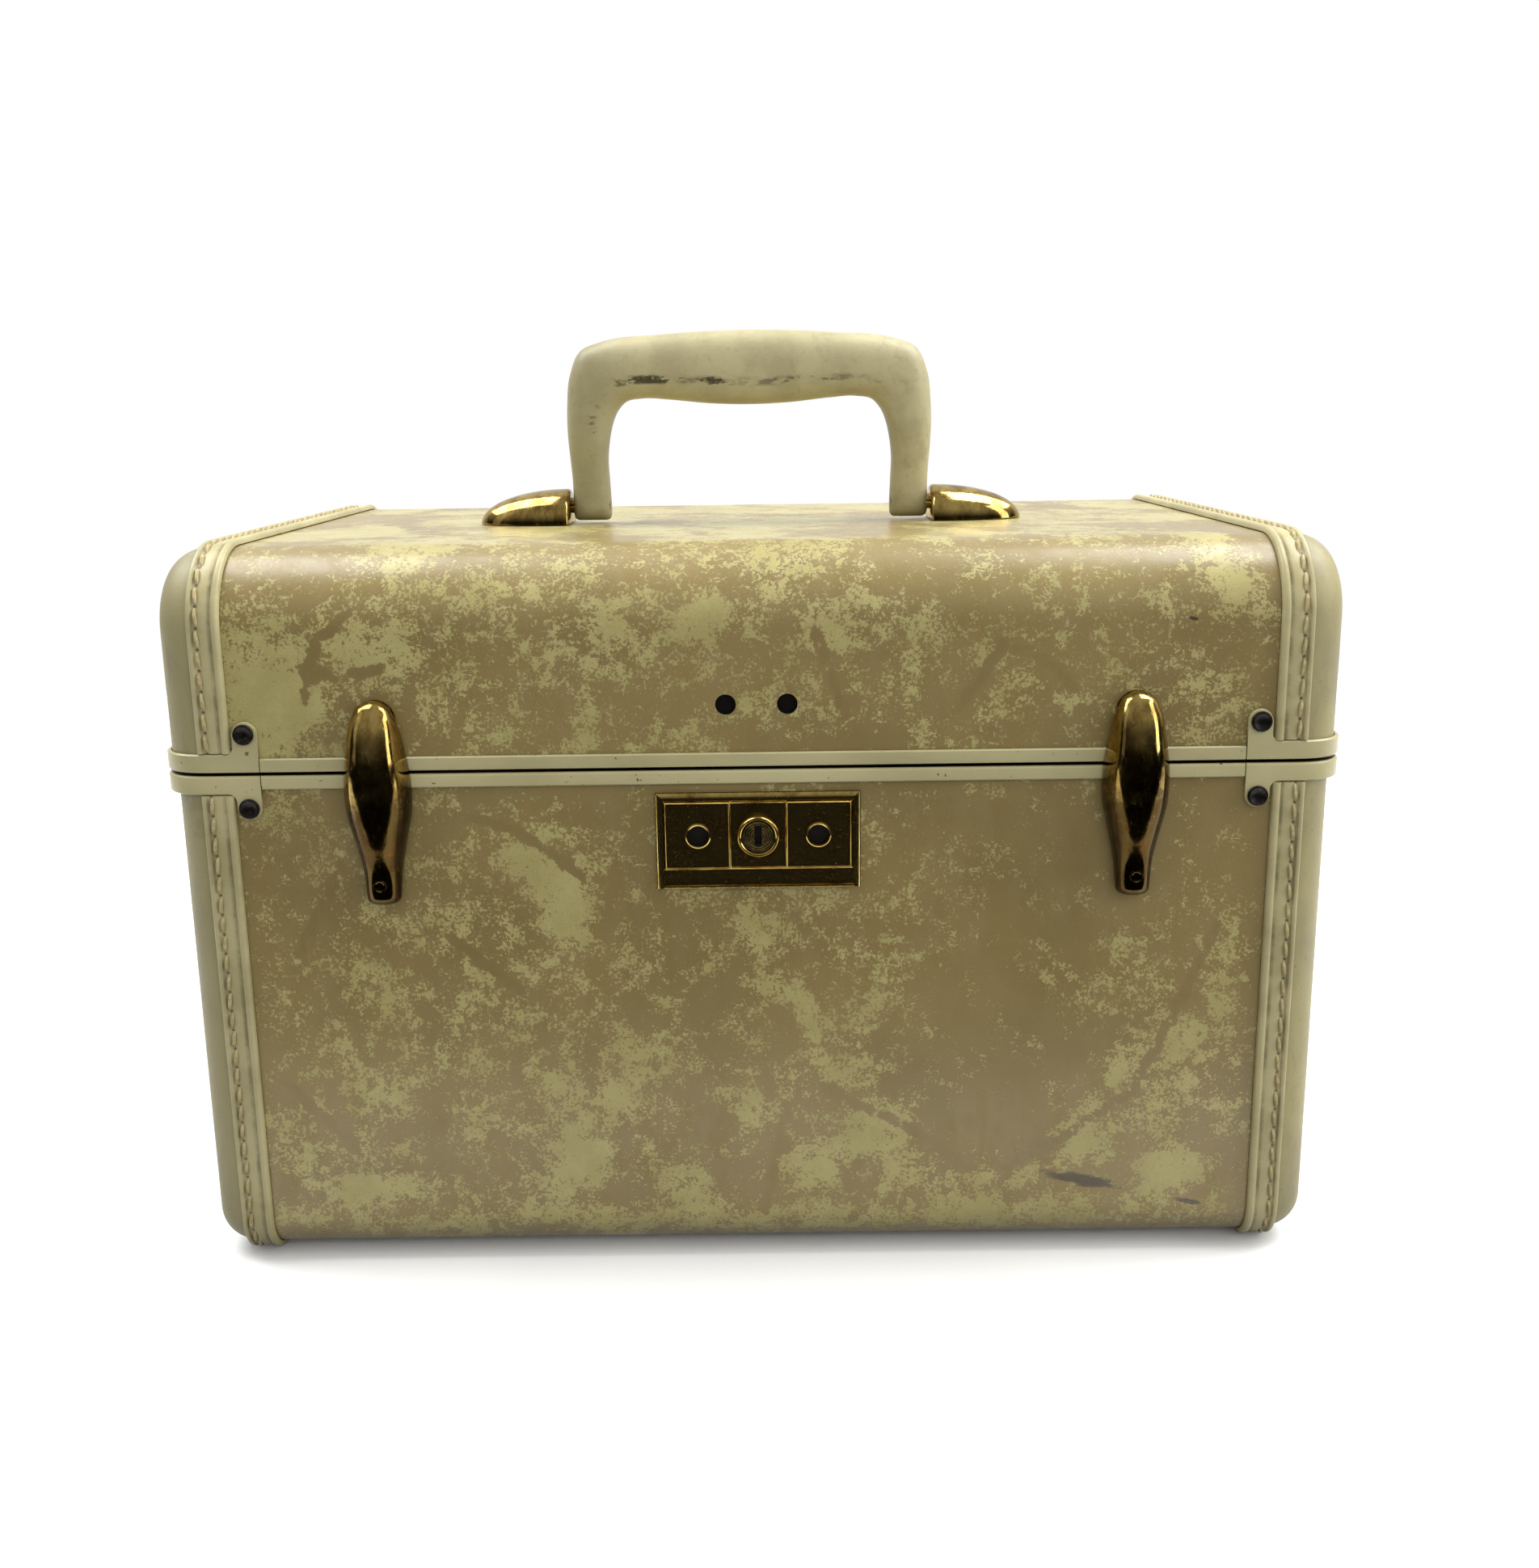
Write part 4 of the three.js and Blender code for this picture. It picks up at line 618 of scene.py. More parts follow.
for half, side in halves.items():
    line, normals = half_section(half, binding_start[half], step=3, arc_steps=16)
    length = length_along(line)
    for end, sign in ends.items():
        over, height = binding_line.T
        x = np.broadcast_to(sign * (binding_from + over), (len(line), len(over)))
        yz = line[:, None, :] + normals[:, None, :] * height[None, :, None]
        points = np.concatenate([x[..., None], yz], axis=-1)
        piece(f"{half}_binding_strip_{end}", points, tube_faces(*x.shape), binding_finish, half,
              [f"{half}_binding_{end}"],
              values={"along": np.broadcast_to(length[:, None], x.shape),
                      "across": np.broadcast_to(over, x.shape)})

        # Stitches: short threads that dive at both ends, one to each pitch round the section.
        middles = np.arange(stitch_pitch, length[-1] - stitch_pitch / 2, stitch_pitch)
        middles = middles - stitch_pitch / 2
        spots = np.column_stack([np.interp(middles, length, line[:, k]) for k in (0, 1)])
        outward = np.column_stack([np.interp(middles, length, normals[:, k]) for k in (0, 1)])
        outward /= np.linalg.norm(outward, axis=1)[:, None]
        onward = np.column_stack([outward[:, 1], -outward[:, 0]]) * side
        thick = thread_radius * np.sqrt(1 - 0.8 * stitch_share ** 2)[:, None]
        up = (thread_rise - thread_dive * stitch_share ** 4)[:, None] + thick * np.sin(stitch_turn)
        over = stitch_across + stitch_lean * stitch_share[:, None] + thick * np.cos(stitch_turn)
        along = np.broadcast_to(stitch_half * stitch_share[:, None], up.shape)
        jitter = random.uniform(-stitch_jitter, stitch_jitter, len(middles))
        x = sign * (binding_from + over[None] + jitter[:, None, None])
        yz = (spots[:, None, None] + onward[:, None, None] * along[None, ..., None]
              + outward[:, None, None] * up[None, ..., None])
        points = np.concatenate([x[..., None], yz], axis=-1)
        stations, sides = up.shape
        shifts = stations * sides * np.arange(len(middles))[:, None, None]
        tube = (grid_faces(stations, sides, closed=True) + shifts).reshape(-1, 4)
        caps = (np.arange(sides) + [[0], [(stations - 1) * sides]] + shifts).reshape(-1, sides)
        piece(f"{half}_stitches_{end}", points, tube.tolist() + caps.tolist(), thread_finish, half)


# Rims: folded steel along the seam, painted cream. The end rims run round the corners and carry a
# tab with a rivet, and the base's rims have a tongue that stands inside the lid.
rim_out, rim_lap, rim_gap, web_sheet = 1.4, 0.3, 0.45, 1.1
rim_round, rim_bevel = 0.8, 0.35
web_in, tongue_in, tongue_sheet, tongue_up = 4.8, 6.1, 1.0, 2.0
front_height, end_height = 4.1, 5.5
tab_from, tab_width, tab_fillet = 142.05, 7.1, 2.6
tab_reach = {"base": 13.5, "lid": 15.4}
rivet_rise = {"base": 10.0, "lid": 11.8}

rim_finish, tree, shader, place = new_finish("stoved enamel on steel, cream", 0.33)
# Glossy stove enamel gone satin: small chips show dark steel, and grime greys it. Inside its fold
# the sheet is painted near black: painted shade for the seam's dark gap.
fold_shade = add(tree, "Attribute", output="Fac", attribute_name="within")
fold_shade = add(tree, "MapRange", {"Value": fold_shade, "From Min": 0.25, "From Max": 0.6},
           interpolation_type="SMOOTHSTEP")
greyed = coat(tree, place, "#b3ab80", "#a39b71", 24, (0.35, 0.7), detail=5, roughness=0.6,
              stretch=(0.4, 1, 1))
chipped = coat(tree, place, greyed, "#3a2f1c", 2.2, (0.71, 0.75), 0.9, detail=3, roughness=0.5)
rim_colour = add(tree, "Mix", {0: fold_shade, 6: chipped, 7: "#1d1a13"}, 2, data_type="RGBA")
give_face(tree, shader, place, rim_colour, 3, 0.05, 2)


def rim_strip(half, end, plan, facing, height):
    """The folded sheet carried along a line in plan, with both ends closed. Its outline, as
    (outwards, away from the seam), is a round outer edge, a web inwards, on the base a tongue
    towards the lid, and the face, whose last three points stand at each station's height."""
    web = rim_gap + web_sheet
    tongue_out = tongue_in - tongue_sheet
    inner = [(-web_in, rim_gap), (-web_in, web)]
    if half == "base":
        inner = [(-tongue_out, rim_gap), (-tongue_out, -tongue_up), (-tongue_in, -tongue_up),
                 (-tongue_in, web)]
    turn = np.linspace(quarter_turn, 0, 5)
    rounded = np.column_stack([rim_out - rim_round + rim_round * np.sin(turn),
                               rim_gap + rim_round - rim_round * np.cos(turn)])
    fixed = np.concatenate([rounded, inner, [(rim_lap, web)]])
    top = np.array([(rim_lap, 0), (1.0, 0), (rim_out, -rim_bevel)])
    outwards = np.concatenate([fixed[:, 0], top[:, 0]])
    away = np.hstack([np.tile(fixed[:, 1], (len(plan), 1)), top[:, 1] + rim_gap + height[:, None]])
    level = plan[:, None, :] + facing[:, None, :] * outwards[None, :, None]
    points = np.concatenate([level, (seam_z + halves[half] * away)[..., None]], axis=-1)
    # Faces inside the fold get within = 1 and are painted near black, as painted shade of the seam's
    # gap.
    within = np.clip((0.9 - outwards) / 0.6, 0, 1) * (away < web + 0.01)
    piece(f"{half}_rim_strip_{end}", points, tube_faces(*away.shape), rim_finish, half,
          [f"{half}_rim_{end}"], values={"within": within})


straight = spaced([joint_gap - tab_from, tab_from - joint_gap], 20)
for half in halves:
    rim_strip(half, "front", np.column_stack([straight, np.full(len(straight), front_y)]),
              np.tile((0, -1), (len(straight), 1)), np.full(len(straight), front_height))

rim_end = cap_end["lid"]
half_tab = tab_width / 2
tab_middle = tab_from + half_tab
for half in halves:
    turn = np.linspace(0, np.pi, 17)
    tab_height = tab_reach[half] - rim_gap - half_tab + half_tab * np.sin(turn)
    fillet_turn = np.linspace(0, quarter_turn, 6)
    fillet_x = tab_from + tab_width + tab_fillet - tab_fillet * np.cos(fillet_turn)
    fillet_height = end_height + tab_fillet - tab_fillet * np.sin(fillet_turn)
    front_x = np.concatenate([tab_middle - half_tab * np.cos(turn), fillet_x, [rim_end - end_radius]])
    corner = np.linspace(0, quarter_turn, 15)[1:-1]
    corner_x = rim_end - end_radius + end_radius * np.sin(corner) ** end_power
    corner_y = half_depth - end_radius + end_radius * np.cos(corner) ** end_power
    side_y = spaced([end_radius - half_depth, half_depth - end_radius], 15)
    back_x = np.array([rim_end - end_radius, tab_from])
    plan = np.concatenate([
        np.column_stack([front_x, np.full(len(front_x), front_y)]),
        np.column_stack([corner_x, -corner_y]),
        np.column_stack([np.full(len(side_y), rim_end), side_y]),
        np.column_stack([corner_x[::-1], corner_y[::-1]]),
        np.column_stack([back_x, np.full(len(back_x), half_depth)]),
    ])
    height = np.full(len(plan), end_height)
    height[:len(front_x) - 1] = np.concatenate([tab_height, fillet_height])
    step = np.gradient(plan, axis=0)
    facing = np.column_stack([step[:, 1], -step[:, 0]])
    facing /= np.linalg.norm(facing, axis=1)[:, None] + 1e-9
    facing[:len(front_x)] = (0, -1)
    facing[-len(back_x):] = (0, 1)
    for end, sign in ends.items():
        rim_strip(half, end, plan * (sign, 1), facing * (sign, 1), height)


# Rivets: blacked steel, one through each tab of the rims. The riveting tool has turned the head
# over to a ring with a shallow dish in it.
rivet_finish, tree, shader, place = new_finish("blacked steel", 0.42, Metallic=0.5)
# Steel blacked in a hot bath: near black, and worn or rusted to brown in small spots.
rivet_colour = coat(tree, place, "#15100b", "#5c4e38", 1.2, (0.55, 0.72), 0.5, roughness=0.7)
give_face(tree, shader, place, rivet_colour, 0.6, 0.05)

dished_head = [(0, -4.8), (1.5, -4.8), (1.5, 0.3), (2.9, 0.3), (3.0, 0.6), (2.95, 1.0), (2.75, 1.3),
               (2.45, 1.38), (2.1, 1.2), (1.5, 0.8), (0.8, 0.55), (0, 0.5)]
for half, side in halves.items():
    for end, sign in ends.items():
        turned_part(f"{half}_rivet_head_{end}", dished_head, sign * tab_middle,
                    seam_z + side * rivet_rise[half], rivet_finish, half,
                    [f"{half}_rivet_{end}"], y=front_y - rim_out)


# Lock: a brass plate, pressed to a raised frame, two raised pads and a plain strip along its foot.
# A rolled eyelet goes through each pad, and a turned barrel with the key's plug stands between.
brass, tree, shader, place = new_finish("lacquered brass, tarnished", 0.16, Metallic=1.0)
# Pressed, polished and lacquered brass: warm, with brown tarnish in drifts, dark stains, coppery
# spots and fine rubbed marks.
tarnish = patches(tree, place, 7, (0.38, 0.72), 1, 6, 0.65)
tarnished = add(tree, "Mix", {0: tarnish, 6: "#c6ac64", 7: "#8a6d36"}, 2, data_type="RGBA")
stained = coat(tree, place, tarnished, "#4e3a1c", 2.1, (0.6, 0.75), 0.6, detail=5, roughness=0.7)
brass_colour = coat(tree, place, stained, "#8a4b26", 4.5, (0.62, 0.72), 0.55, roughness=0.6,
                    distortion=1.2)
rough = add(tree, "Math", {0: tarnish, 1: 0.12, 2: 0.12}, operation="MULTIPLY_ADD")
rubbed = patches(tree, place, 0.8, (0.5, 0.8), 0.15, roughness=0.7)
rough = add(tree, "Math", {0: rough, 1: rubbed}, operation="ADD")
tree.links.new(rough, shader.inputs["Roughness"])
give_face(tree, shader, place, brass_colour, 2.5, 0.04)

lock_low, lock_high = corner_of("lock_plate", 0), corner_of("lock_plate", 1)
lock_x = (lock_low[0] + lock_high[0]) / 2
barrel_z = (corner_of("lock_barrel", 0)[2] + corner_of("lock_barrel", 1)[2]) / 2
plate_face, plate_foot, frame_width, foot_width, frame_rise = 1.2, 0.7, 2.2, 1.0, 0.8
edge_drop, edge_width, plate_sheet = 0.5, 0.25, 0.4
pad_offset, pad_half_x, pad_half_z, pad_rise, pad_slope = 17.7, 9.8, 10.25, 0.35, 0.3
ridge_half = 0.35


def ridge(distance):
    """A ridge along a line, as high as it is half wide, with a half circle's round top."""
    return ridge_half * np.sqrt(np.clip(1 - (distance / ridge_half) ** 2, 0, 1))


def plate_height(x, z):
    """The plate's face above the panel: a rounded frame that climbs inwards and steps down, two
    pads with a ridge round each, and a ridge between the pads' tops and between their feet."""
    from_side = np.minimum(x - lock_low[0], lock_high[0] - x)
    inward = np.minimum.reduce([from_side, z - lock_low[2], lock_high[2] - z])
    slope = np.minimum.reduce([from_side, lock_high[2] - z,
                               z - lock_low[2] + frame_width - foot_width])
    slope = np.clip(slope / frame_width, 0, 1)
    face = plate_face + frame_rise * np.where(slope < 1, 1 - (1 - slope) ** 2, 0)
    face = face - edge_drop * np.clip(1 - inward / edge_width, 0, 1)
    for sign in ends.values():
        outside = np.maximum(np.abs(x - lock_x - sign * pad_offset) - pad_half_x,
                             np.abs(z - barrel_z) - pad_half_z)
        pad = np.clip(-outside / pad_slope, 0, 1) * pad_rise + ridge(outside + ridge_half)
        face = np.maximum(face, plate_face + pad)
    between = np.abs(x - lock_x) < pad_offset
    for level in (barrel_z - pad_half_z + ridge_half, barrel_z + pad_half_z - ridge_half):
        face = np.maximum(face, plate_face + between * ridge(z - level))
    return face


def feature_lines(low, high, edges, extra, near=0.9, fine=0.16, coarse=1.6):
    """Grid lines that crowd round each edge of a pressed shape, with some extra lines."""
    crowded = [np.arange(edge - near, edge + near, fine) for edge in edges]
    values = np.sort(np.concatenate([*crowded, extra, np.arange(low, high, coarse)]))
    values = values[(values > low + fine / 2) & (values < high - fine / 2)]
    values = values[np.concatenate([[True], np.diff(values) > fine / 2])]
    return np.concatenate([[low], values, [high]])


eyelet_offset, eyelet_hole, barrel_hole = 17.5, 3.7, 6.1
barrel_lines, eyelet_lines = np.arange(-7, 7.1, 0.5), np.arange(-4.5, 4.6, 0.5)
pad_edges = [lock_x + sign * (pad_offset + beside * pad_half_x) for sign in (-1, 1)
             for beside in (-1, 1)]
plate_x = feature_lines(lock_low[0], lock_high[0],
                        [lock_low[0] + plate_foot, lock_high[0] - plate_foot,
                         lock_low[0] + frame_width, lock_high[0] - frame_width, *pad_edges],
                        np.concatenate([lock_x + barrel_lines, lock_x - eyelet_offset + eyelet_lines,
                                        lock_x + eyelet_offset + eyelet_lines]))
plate_z = feature_lines(lock_low[2], lock_high[2],
                        [lock_low[2] + plate_foot, lock_high[2] - plate_foot,
                         lock_high[2] - frame_width, barrel_z - pad_half_z, barrel_z + pad_half_z],
                        barrel_z + barrel_lines)
x, z = np.meshgrid(plate_x, plate_z, indexing="ij")
height = plate_height(x, z)
# The outermost lines run down to the panel, and the bores are left open under their rings.
x, z = (np.pad(values, 1, mode="edge") for values in (x, z))
height = np.pad(height, 1, constant_values=plate_foot)
bored = np.hypot(x - lock_x, z - barrel_z) < barrel_hole
for sign in ends.values():
    bored |= np.hypot(x - lock_x - sign * eyelet_offset, z - barrel_z) < eyelet_hole
faces = grid_faces(*x.shape)
faces = faces[~bored.ravel()[faces].all(axis=1)]
points = np.stack([x, front_y - height, z], axis=-1).reshape(-1, 3)
used, faces = np.unique(faces, return_inverse=True)
piece("lock_plate_pressing", points[used], faces.reshape(-1, 4), brass, "base",
      ["lock_plate"], wall=plate_sheet, crease=50, inside=(lock_x, 0, barrel_z))

seat = plate_face + pad_rise
eyelet_ring = [(2.9, -3.0), (3.5, -3.0), (3.5, seat), (3.8, seat), (3.82, seat + 0.3),
               (3.7, seat + 0.62), (3.4, seat + 0.8), (3.12, seat + 0.7), (2.95, seat + 0.4),
               (2.9, seat), (2.9, -3.0)]
# Black pits of painted shade close the eyelets' bores from behind.
eyelet_shade_pit = [(0, 0.02), (3.2, 0.02), (3.2, 0.3), (2.88, 0.4), (2.88, 1.0), (2.8, 1.0), (2.8, 0.25),
              (0, 0.2)]
for end, sign in ends.items():
    eyelet_x = lock_x + sign * eyelet_offset
    turned_part(f"lock_eyelet_ring_{end}", eyelet_ring, eyelet_x, barrel_z, brass, "base",
                [f"lock_eyelet_{end}"], 48)
    turned_part(f"lock_eyelet_pit_{end}", eyelet_shade_pit, eyelet_x, barrel_z, shade_pit_finish, "base",
                (), 32)

barrel = [(5.0, -3.0), (5.5, -3.0), (5.5, 1.5), (6.2, 1.5), (6.25, 2.2), (6.2, 3.0), (6.0, 3.6),
          (5.65, 3.95), (5.3, 4.0), (5.05, 3.8), (5.0, 3.4), (5.0, -3.0)]
turned_part("lock_barrel_ring", barrel, lock_x, barrel_z, brass, "base", ["lock_barrel"], 56)

plug_finish, tree, shader, place = new_finish("turned brass, darkened", 0.4, Metallic=1.0)
# The key's plug, turned on a lathe and gone dark: rings of tool marks about 0.7 mm apart, and grime.
ring_pitch, ring_depth = 0.7, 0.06
across_plug = add(tree, "VectorMath", {0: place, 1: (lock_x * mm, 0, barrel_z * mm)},
                  operation="SUBTRACT")
flattened = add(tree, "VectorMath", {0: across_plug, 1: (1, 0, 1)}, operation="MULTIPLY")
from_axis = add(tree, "VectorMath", {0: flattened}, "Value", operation="LENGTH")
ring_turn = add(tree, "Math", {0: from_axis, 1: 2 * np.pi / (ring_pitch * mm)}, operation="MULTIPLY")
rings = add(tree, "Math", {0: ring_turn}, operation="SINE")
relief = add(tree, "Bump", {"Height": rings, "Distance": ring_depth * mm})
plug_colour = coat(tree, place, "#62522e", "#2c2412", 1.5, (0.35, 0.7), detail=5, roughness=0.7)
tree.links.new(plug_colour, shader.inputs["Base Color"])
tree.links.new(relief, shader.inputs["Normal"])

# Keyway: a black cup with a rounded outline just under the plug's face, painted shade for the inside
# of the slot.
# Its profile is (share of the slot's half size, height in front of the panel).
keyway = np.array([(0, 1.8), (1, 1.8), (1, 3.5), (0.92, 3.5), (0.9, 2.2), (0, 2.0)])
slot_half_x, slot_half_z, slot_lift, slot_power = 1.05, 3.05, 0.4, 0.35
turn = np.linspace(0, 2 * np.pi, 41)[:-1]
slot_x, slot_z = (np.sign(wave) * np.abs(wave) ** slot_power for wave in (np.cos(turn), np.sin(turn)))
points = np.stack([lock_x + slot_half_x * keyway[:, :1] * slot_x,
                   front_y - keyway[:, 1:] + 0 * slot_x,
                   barrel_z + slot_lift + slot_half_z * keyway[:, :1] * slot_z], axis=-1)
piece("lock_keyway", points, grid_faces(*points.shape[:2], closed=True), shade_pit_finish, "lock")


# Latches: a deep brass lever over each end of the seam, domed from a narrow foot to a full middle
# and a round tip, open behind, with a tubular rivet in the foot.
dark_reflection_from, dark_reflection_full = 166, 146
handled_brass_and_dark_reflection, tree, shader, place = new_finish("pressed brass, handled, with painted dark reflection", 0.14,
                                                Metallic=1.0)
# Pressed brass with its lacquer worn off by fingers: bright on the shoulders, with copper blotches
# and pale rubbed scratches. Lower down it is painted brown to black, a painted dark reflection; the
# dark part's edge wavers by about 10 mm.
waver_size, waver = 9, 50
noise = add(tree, "TexNoise", {"Vector": place, "Scale": 1 / (waver_size * mm), "Detail": 5,
                               "Roughness": 0.65})
level = add(tree, "SeparateXYZ", {0: place}, "Z")
level = add(tree, "Math", {0: noise, 1: waver * mm, 2: level}, operation="MULTIPLY_ADD")
# Painted dark reflection: below a wavering level the brass goes brown to black.
dark_reflection = add(tree, "MapRange", {"Value": level, "From Min": (waver / 2 + dark_reflection_from) * mm,
                                  "From Max": (waver / 2 + dark_reflection_full) * mm, "To Max": 0.9},
               interpolation_type="SMOOTHSTEP")
browned = coat(tree, place, "#c6ab62", "#7d6030", 7, (0.36, 0.7), detail=6, roughness=0.65,
               stretch=(1, 1, 0.4))
darkened = add(tree, "Mix", {0: dark_reflection, 6: browned, 7: "#281a0b"}, 2, data_type="RGBA")
blotched = coat(tree, place, darkened, "#7c3f20", 5.5, (0.6, 0.7), 0.6, roughness=0.6,
                distortion=1.4)
lever_colour = coat(tree, place, blotched, "#d9cfae", 1.3, (0.66, 0.7), 0.7, detail=6,
                    roughness=0.8, stretch=(1, 1, 0.4), distortion=1)
hairlines = patches(tree, place, 1.1, (0.5, 0.75), 0.22, 5, 0.75, (1, 1, 0.3))
rough = add(tree, "Math", {0: hairlines, 1: 0.1}, operation="ADD")
tree.links.new(rough, shader.inputs["Roughness"])
give_face(tree, shader, place, lever_colour, 4, 0.03, 2)

lever_low, lever_high = corner_of("latch_lever_right", 0), corner_of("latch_lever_right", 1)
foot_radius, foot_power = 3.0, 2.6
pivot_z = lever_low[2] + foot_radius
lever_length = lever_high[2] - pivot_z
lever_half, lever_dome, lever_edge, lever_sheet = 9.5, 11.4, 2.9, 0.9
lever_x = {end: (corner_of(f"latch_lever_{end}", 0)[0] + corner_of(f"latch_lever_{end}", 1)[0]) / 2
           for end in ends}
# Place along the lever, half width, height of the dome and of its edge, as shares.
lever_shares = np.array([
    [0, 0.52, 0.46, 1], [0.14, 0.6, 0.59, 0.6], [0.3, 0.8, 0.77, 0.6], [0.42, 0.96, 0.895, 0.6],
    [0.56, 1, 1, 0.6], [0.78, 0.84, 0.81, 0.8], [0.9, 0.68, 0.55, 1], [0.965, 0.5, 0.33, 1],
])
tip_share = 0.965
rivet_up = 4.0


def through(rows, places):
    """Smooth values at places through rows whose first column is the place: cubic pieces whose
    slopes are those between the neighbours."""
    knots, values = rows[:, 0], rows[:, 1:]
    slopes = np.gradient(values, knots, axis=0)
    low = np.clip(np.searchsorted(knots, places, side="right") - 1, 0, len(knots) - 2)
    span = (knots[low + 1] - knots[low])[:, None]
    part = np.clip((places - knots[low])[:, None] / span, 0, 1)
    square, cube = part ** 2, part ** 3
    return ((2 * cube - 3 * square + 1) * values[low] + (cube - 2 * square + part) * span * slopes[low]
            + (3 * square - 2 * cube) * values[low + 1] + (cube - square) * span * slopes[low + 1])


foot_share = -foot_radius / lever_length
foot_places = foot_share * np.cos(np.linspace(0, quarter_turn, 9))
tip_places = tip_share + (1 - tip_share) * np.sin(np.linspace(0, quarter_turn, 9))
lever_places = np.concatenate([foot_places[:-1], np.linspace(0, tip_share, 46)[:-1], tip_places])
lever_shape = through(lever_shares, np.clip(lever_places, 0, tip_share))
tip_shrink = np.sqrt(np.clip((1 - lever_places) / (1 - tip_share), 0, 1))
foot_down = np.clip(lever_places / foot_share, 0, 1)
narrow = np.minimum(tip_shrink, (1 - foot_down ** foot_power) ** (1 / foot_power))
low_end = np.minimum(tip_shrink, np.sqrt(1 - foot_down ** 2))
bow = np.linspace(0, np.pi, 29)
bow_power = 2 / 2.2
bow_across = np.sign(np.cos(bow)) * np.abs(np.cos(bow)) ** bow_power
bow_out = np.sin(bow) ** bow_power
tubular_rivet = [(0, -1.2), (1.9, -1.2), (1.9, 0.1), (1.75, 0.35), (1.45, 0.42), (1.15, 0.3),
                 (1.0, 0.0), (1.0, -0.8), (0, -0.8)]

for end in ends:
    half_width = lever_half * lever_shape[:, 0] * narrow
    edge_out, dome = lever_edge * lever_shape[:, 2], lever_dome * lever_shape[:, 1]
    x = lever_x[end] + half_width[:, None] * bow_across
    y = front_y - edge_out[:, None] - (dome * low_end)[:, None] * bow_out
    z = np.broadcast_to((pivot_z + lever_places * lever_length)[:, None], x.shape)
    piece(f"latch_shell_{end}", np.stack([x, y, z], axis=-1), grid_faces(*x.shape), handled_brass_and_dark_reflection,
          f"latch_{end}", [f"latch_lever_{end}"], wall=lever_sheet,
          inside=(lever_x[end], front_y - 2, pivot_z + lever_length / 2))
    rivet_out = np.interp(rivet_up / lever_length, lever_places, dome + edge_out)
    turned_part(f"latch_rivet_{end}", tubular_rivet, lever_x[end], pivot_z + rivet_up,
                handled_brass_and_dark_reflection, f"latch_{end}", (), 32, y=front_y - rivet_out)


# Handle: one moulding of cream plastic with a fuller grip, swinging on pins in two brass caps.
# Sections are rounded rectangles, and a mould line along the grip holds dirt.
handle_x, handle_y, handle_pivot_z = -0.5, -8.0, 225.0
half_span, handle_rise, half_thick = 61.0, 56.3, 9.4
handle_foot, foot_round, handle_square = 5.0, 2.0, 2.5
# Outer edge across and up, inner edge across and up, and half depth, as shares.
handle_shares = np.array([
    [0.975, 0, 0.766, 0, 0.53], [0.976, 0.16, 0.772, 0.146, 0.62],
    [0.984, 0.284, 0.776, 0.258, 0.74], [0.992, 0.426, 0.766, 0.373, 0.86],
    [0.989, 0.577, 0.743, 0.48, 0.93], [0.97, 0.746, 0.709, 0.554, 0.97],
    [0.91, 0.888, 0.66, 0.602, 0.99], [0.789, 0.943, 0.589, 0.615, 1],
    [0.466, 0.98, 0.434, 0.608, 1], [0.229, 0.995, 0.213, 0.584, 1], [0, 1, 0, 0.576, 1],
])
# Smears of dirt along the grip: middle X, half length and strength.
grip_smears = [(-34, 9, 0.9), (-12, 4, 1.0), (16, 16, 0.3)]
grip_half, leg_smear_up, leg_smear_half = 44, 27, 13
left_leg_shade_from, left_leg_shade_full = -34, -54

handle_finish, tree, shader, place = new_finish("moulded vinyl plastic, cream", 0.46)
# Semi-rigid plastic gone matt in the hand: yellowed, with black dirt rubbed into the mould line.
# The left leg is painted greyer, as shade.
broken = patches(tree, place, 3.6, (0.42, 0.58), 1, 6, 0.8, (0.35, 1, 1))
dirt = add(tree, "Attribute", output="Fac", attribute_name="dirt")
dirt = add(tree, "Math", {0: dirt, 1: broken}, operation="MULTIPLY")
dirt = add(tree, "MapRange", {"Value": dirt, "From Min": 0.1, "From Max": 0.9, "To Max": 0.9},
           interpolation_type="SMOOTHSTEP")
sideways = add(tree, "SeparateXYZ", {0: place}, "X")
# Painted shade: greyer and darker towards the left leg.
greyed = add(tree, "MapRange", {"Value": sideways, "From Min": left_leg_shade_from * mm,
                                "From Max": left_leg_shade_full * mm, "To Max": 0.4},
             interpolation_type="SMOOTHSTEP")
yellowed = coat(tree, place, "#aea680", "#9f9772", 16, (0.36, 0.66), detail=6, roughness=0.62)
dirty = add(tree, "Mix", {0: dirt, 6: yellowed, 7: "#262114"}, 2, data_type="RGBA")
soiled = coat(tree, place, dirty, "#787050", 9, (0.54, 0.68), 0.3, detail=6, roughness=0.75)
spotted = coat(tree, place, soiled, "#787050", 2.4, (0.58, 0.72), 0.4, detail=6, roughness=0.75)
handle_colour = add(tree, "Mix", {0: greyed, 6: spotted, 7: "#787050"}, 2, data_type="RGBA")
give_face(tree, shader, place, handle_colour, 1.2, 0.06)

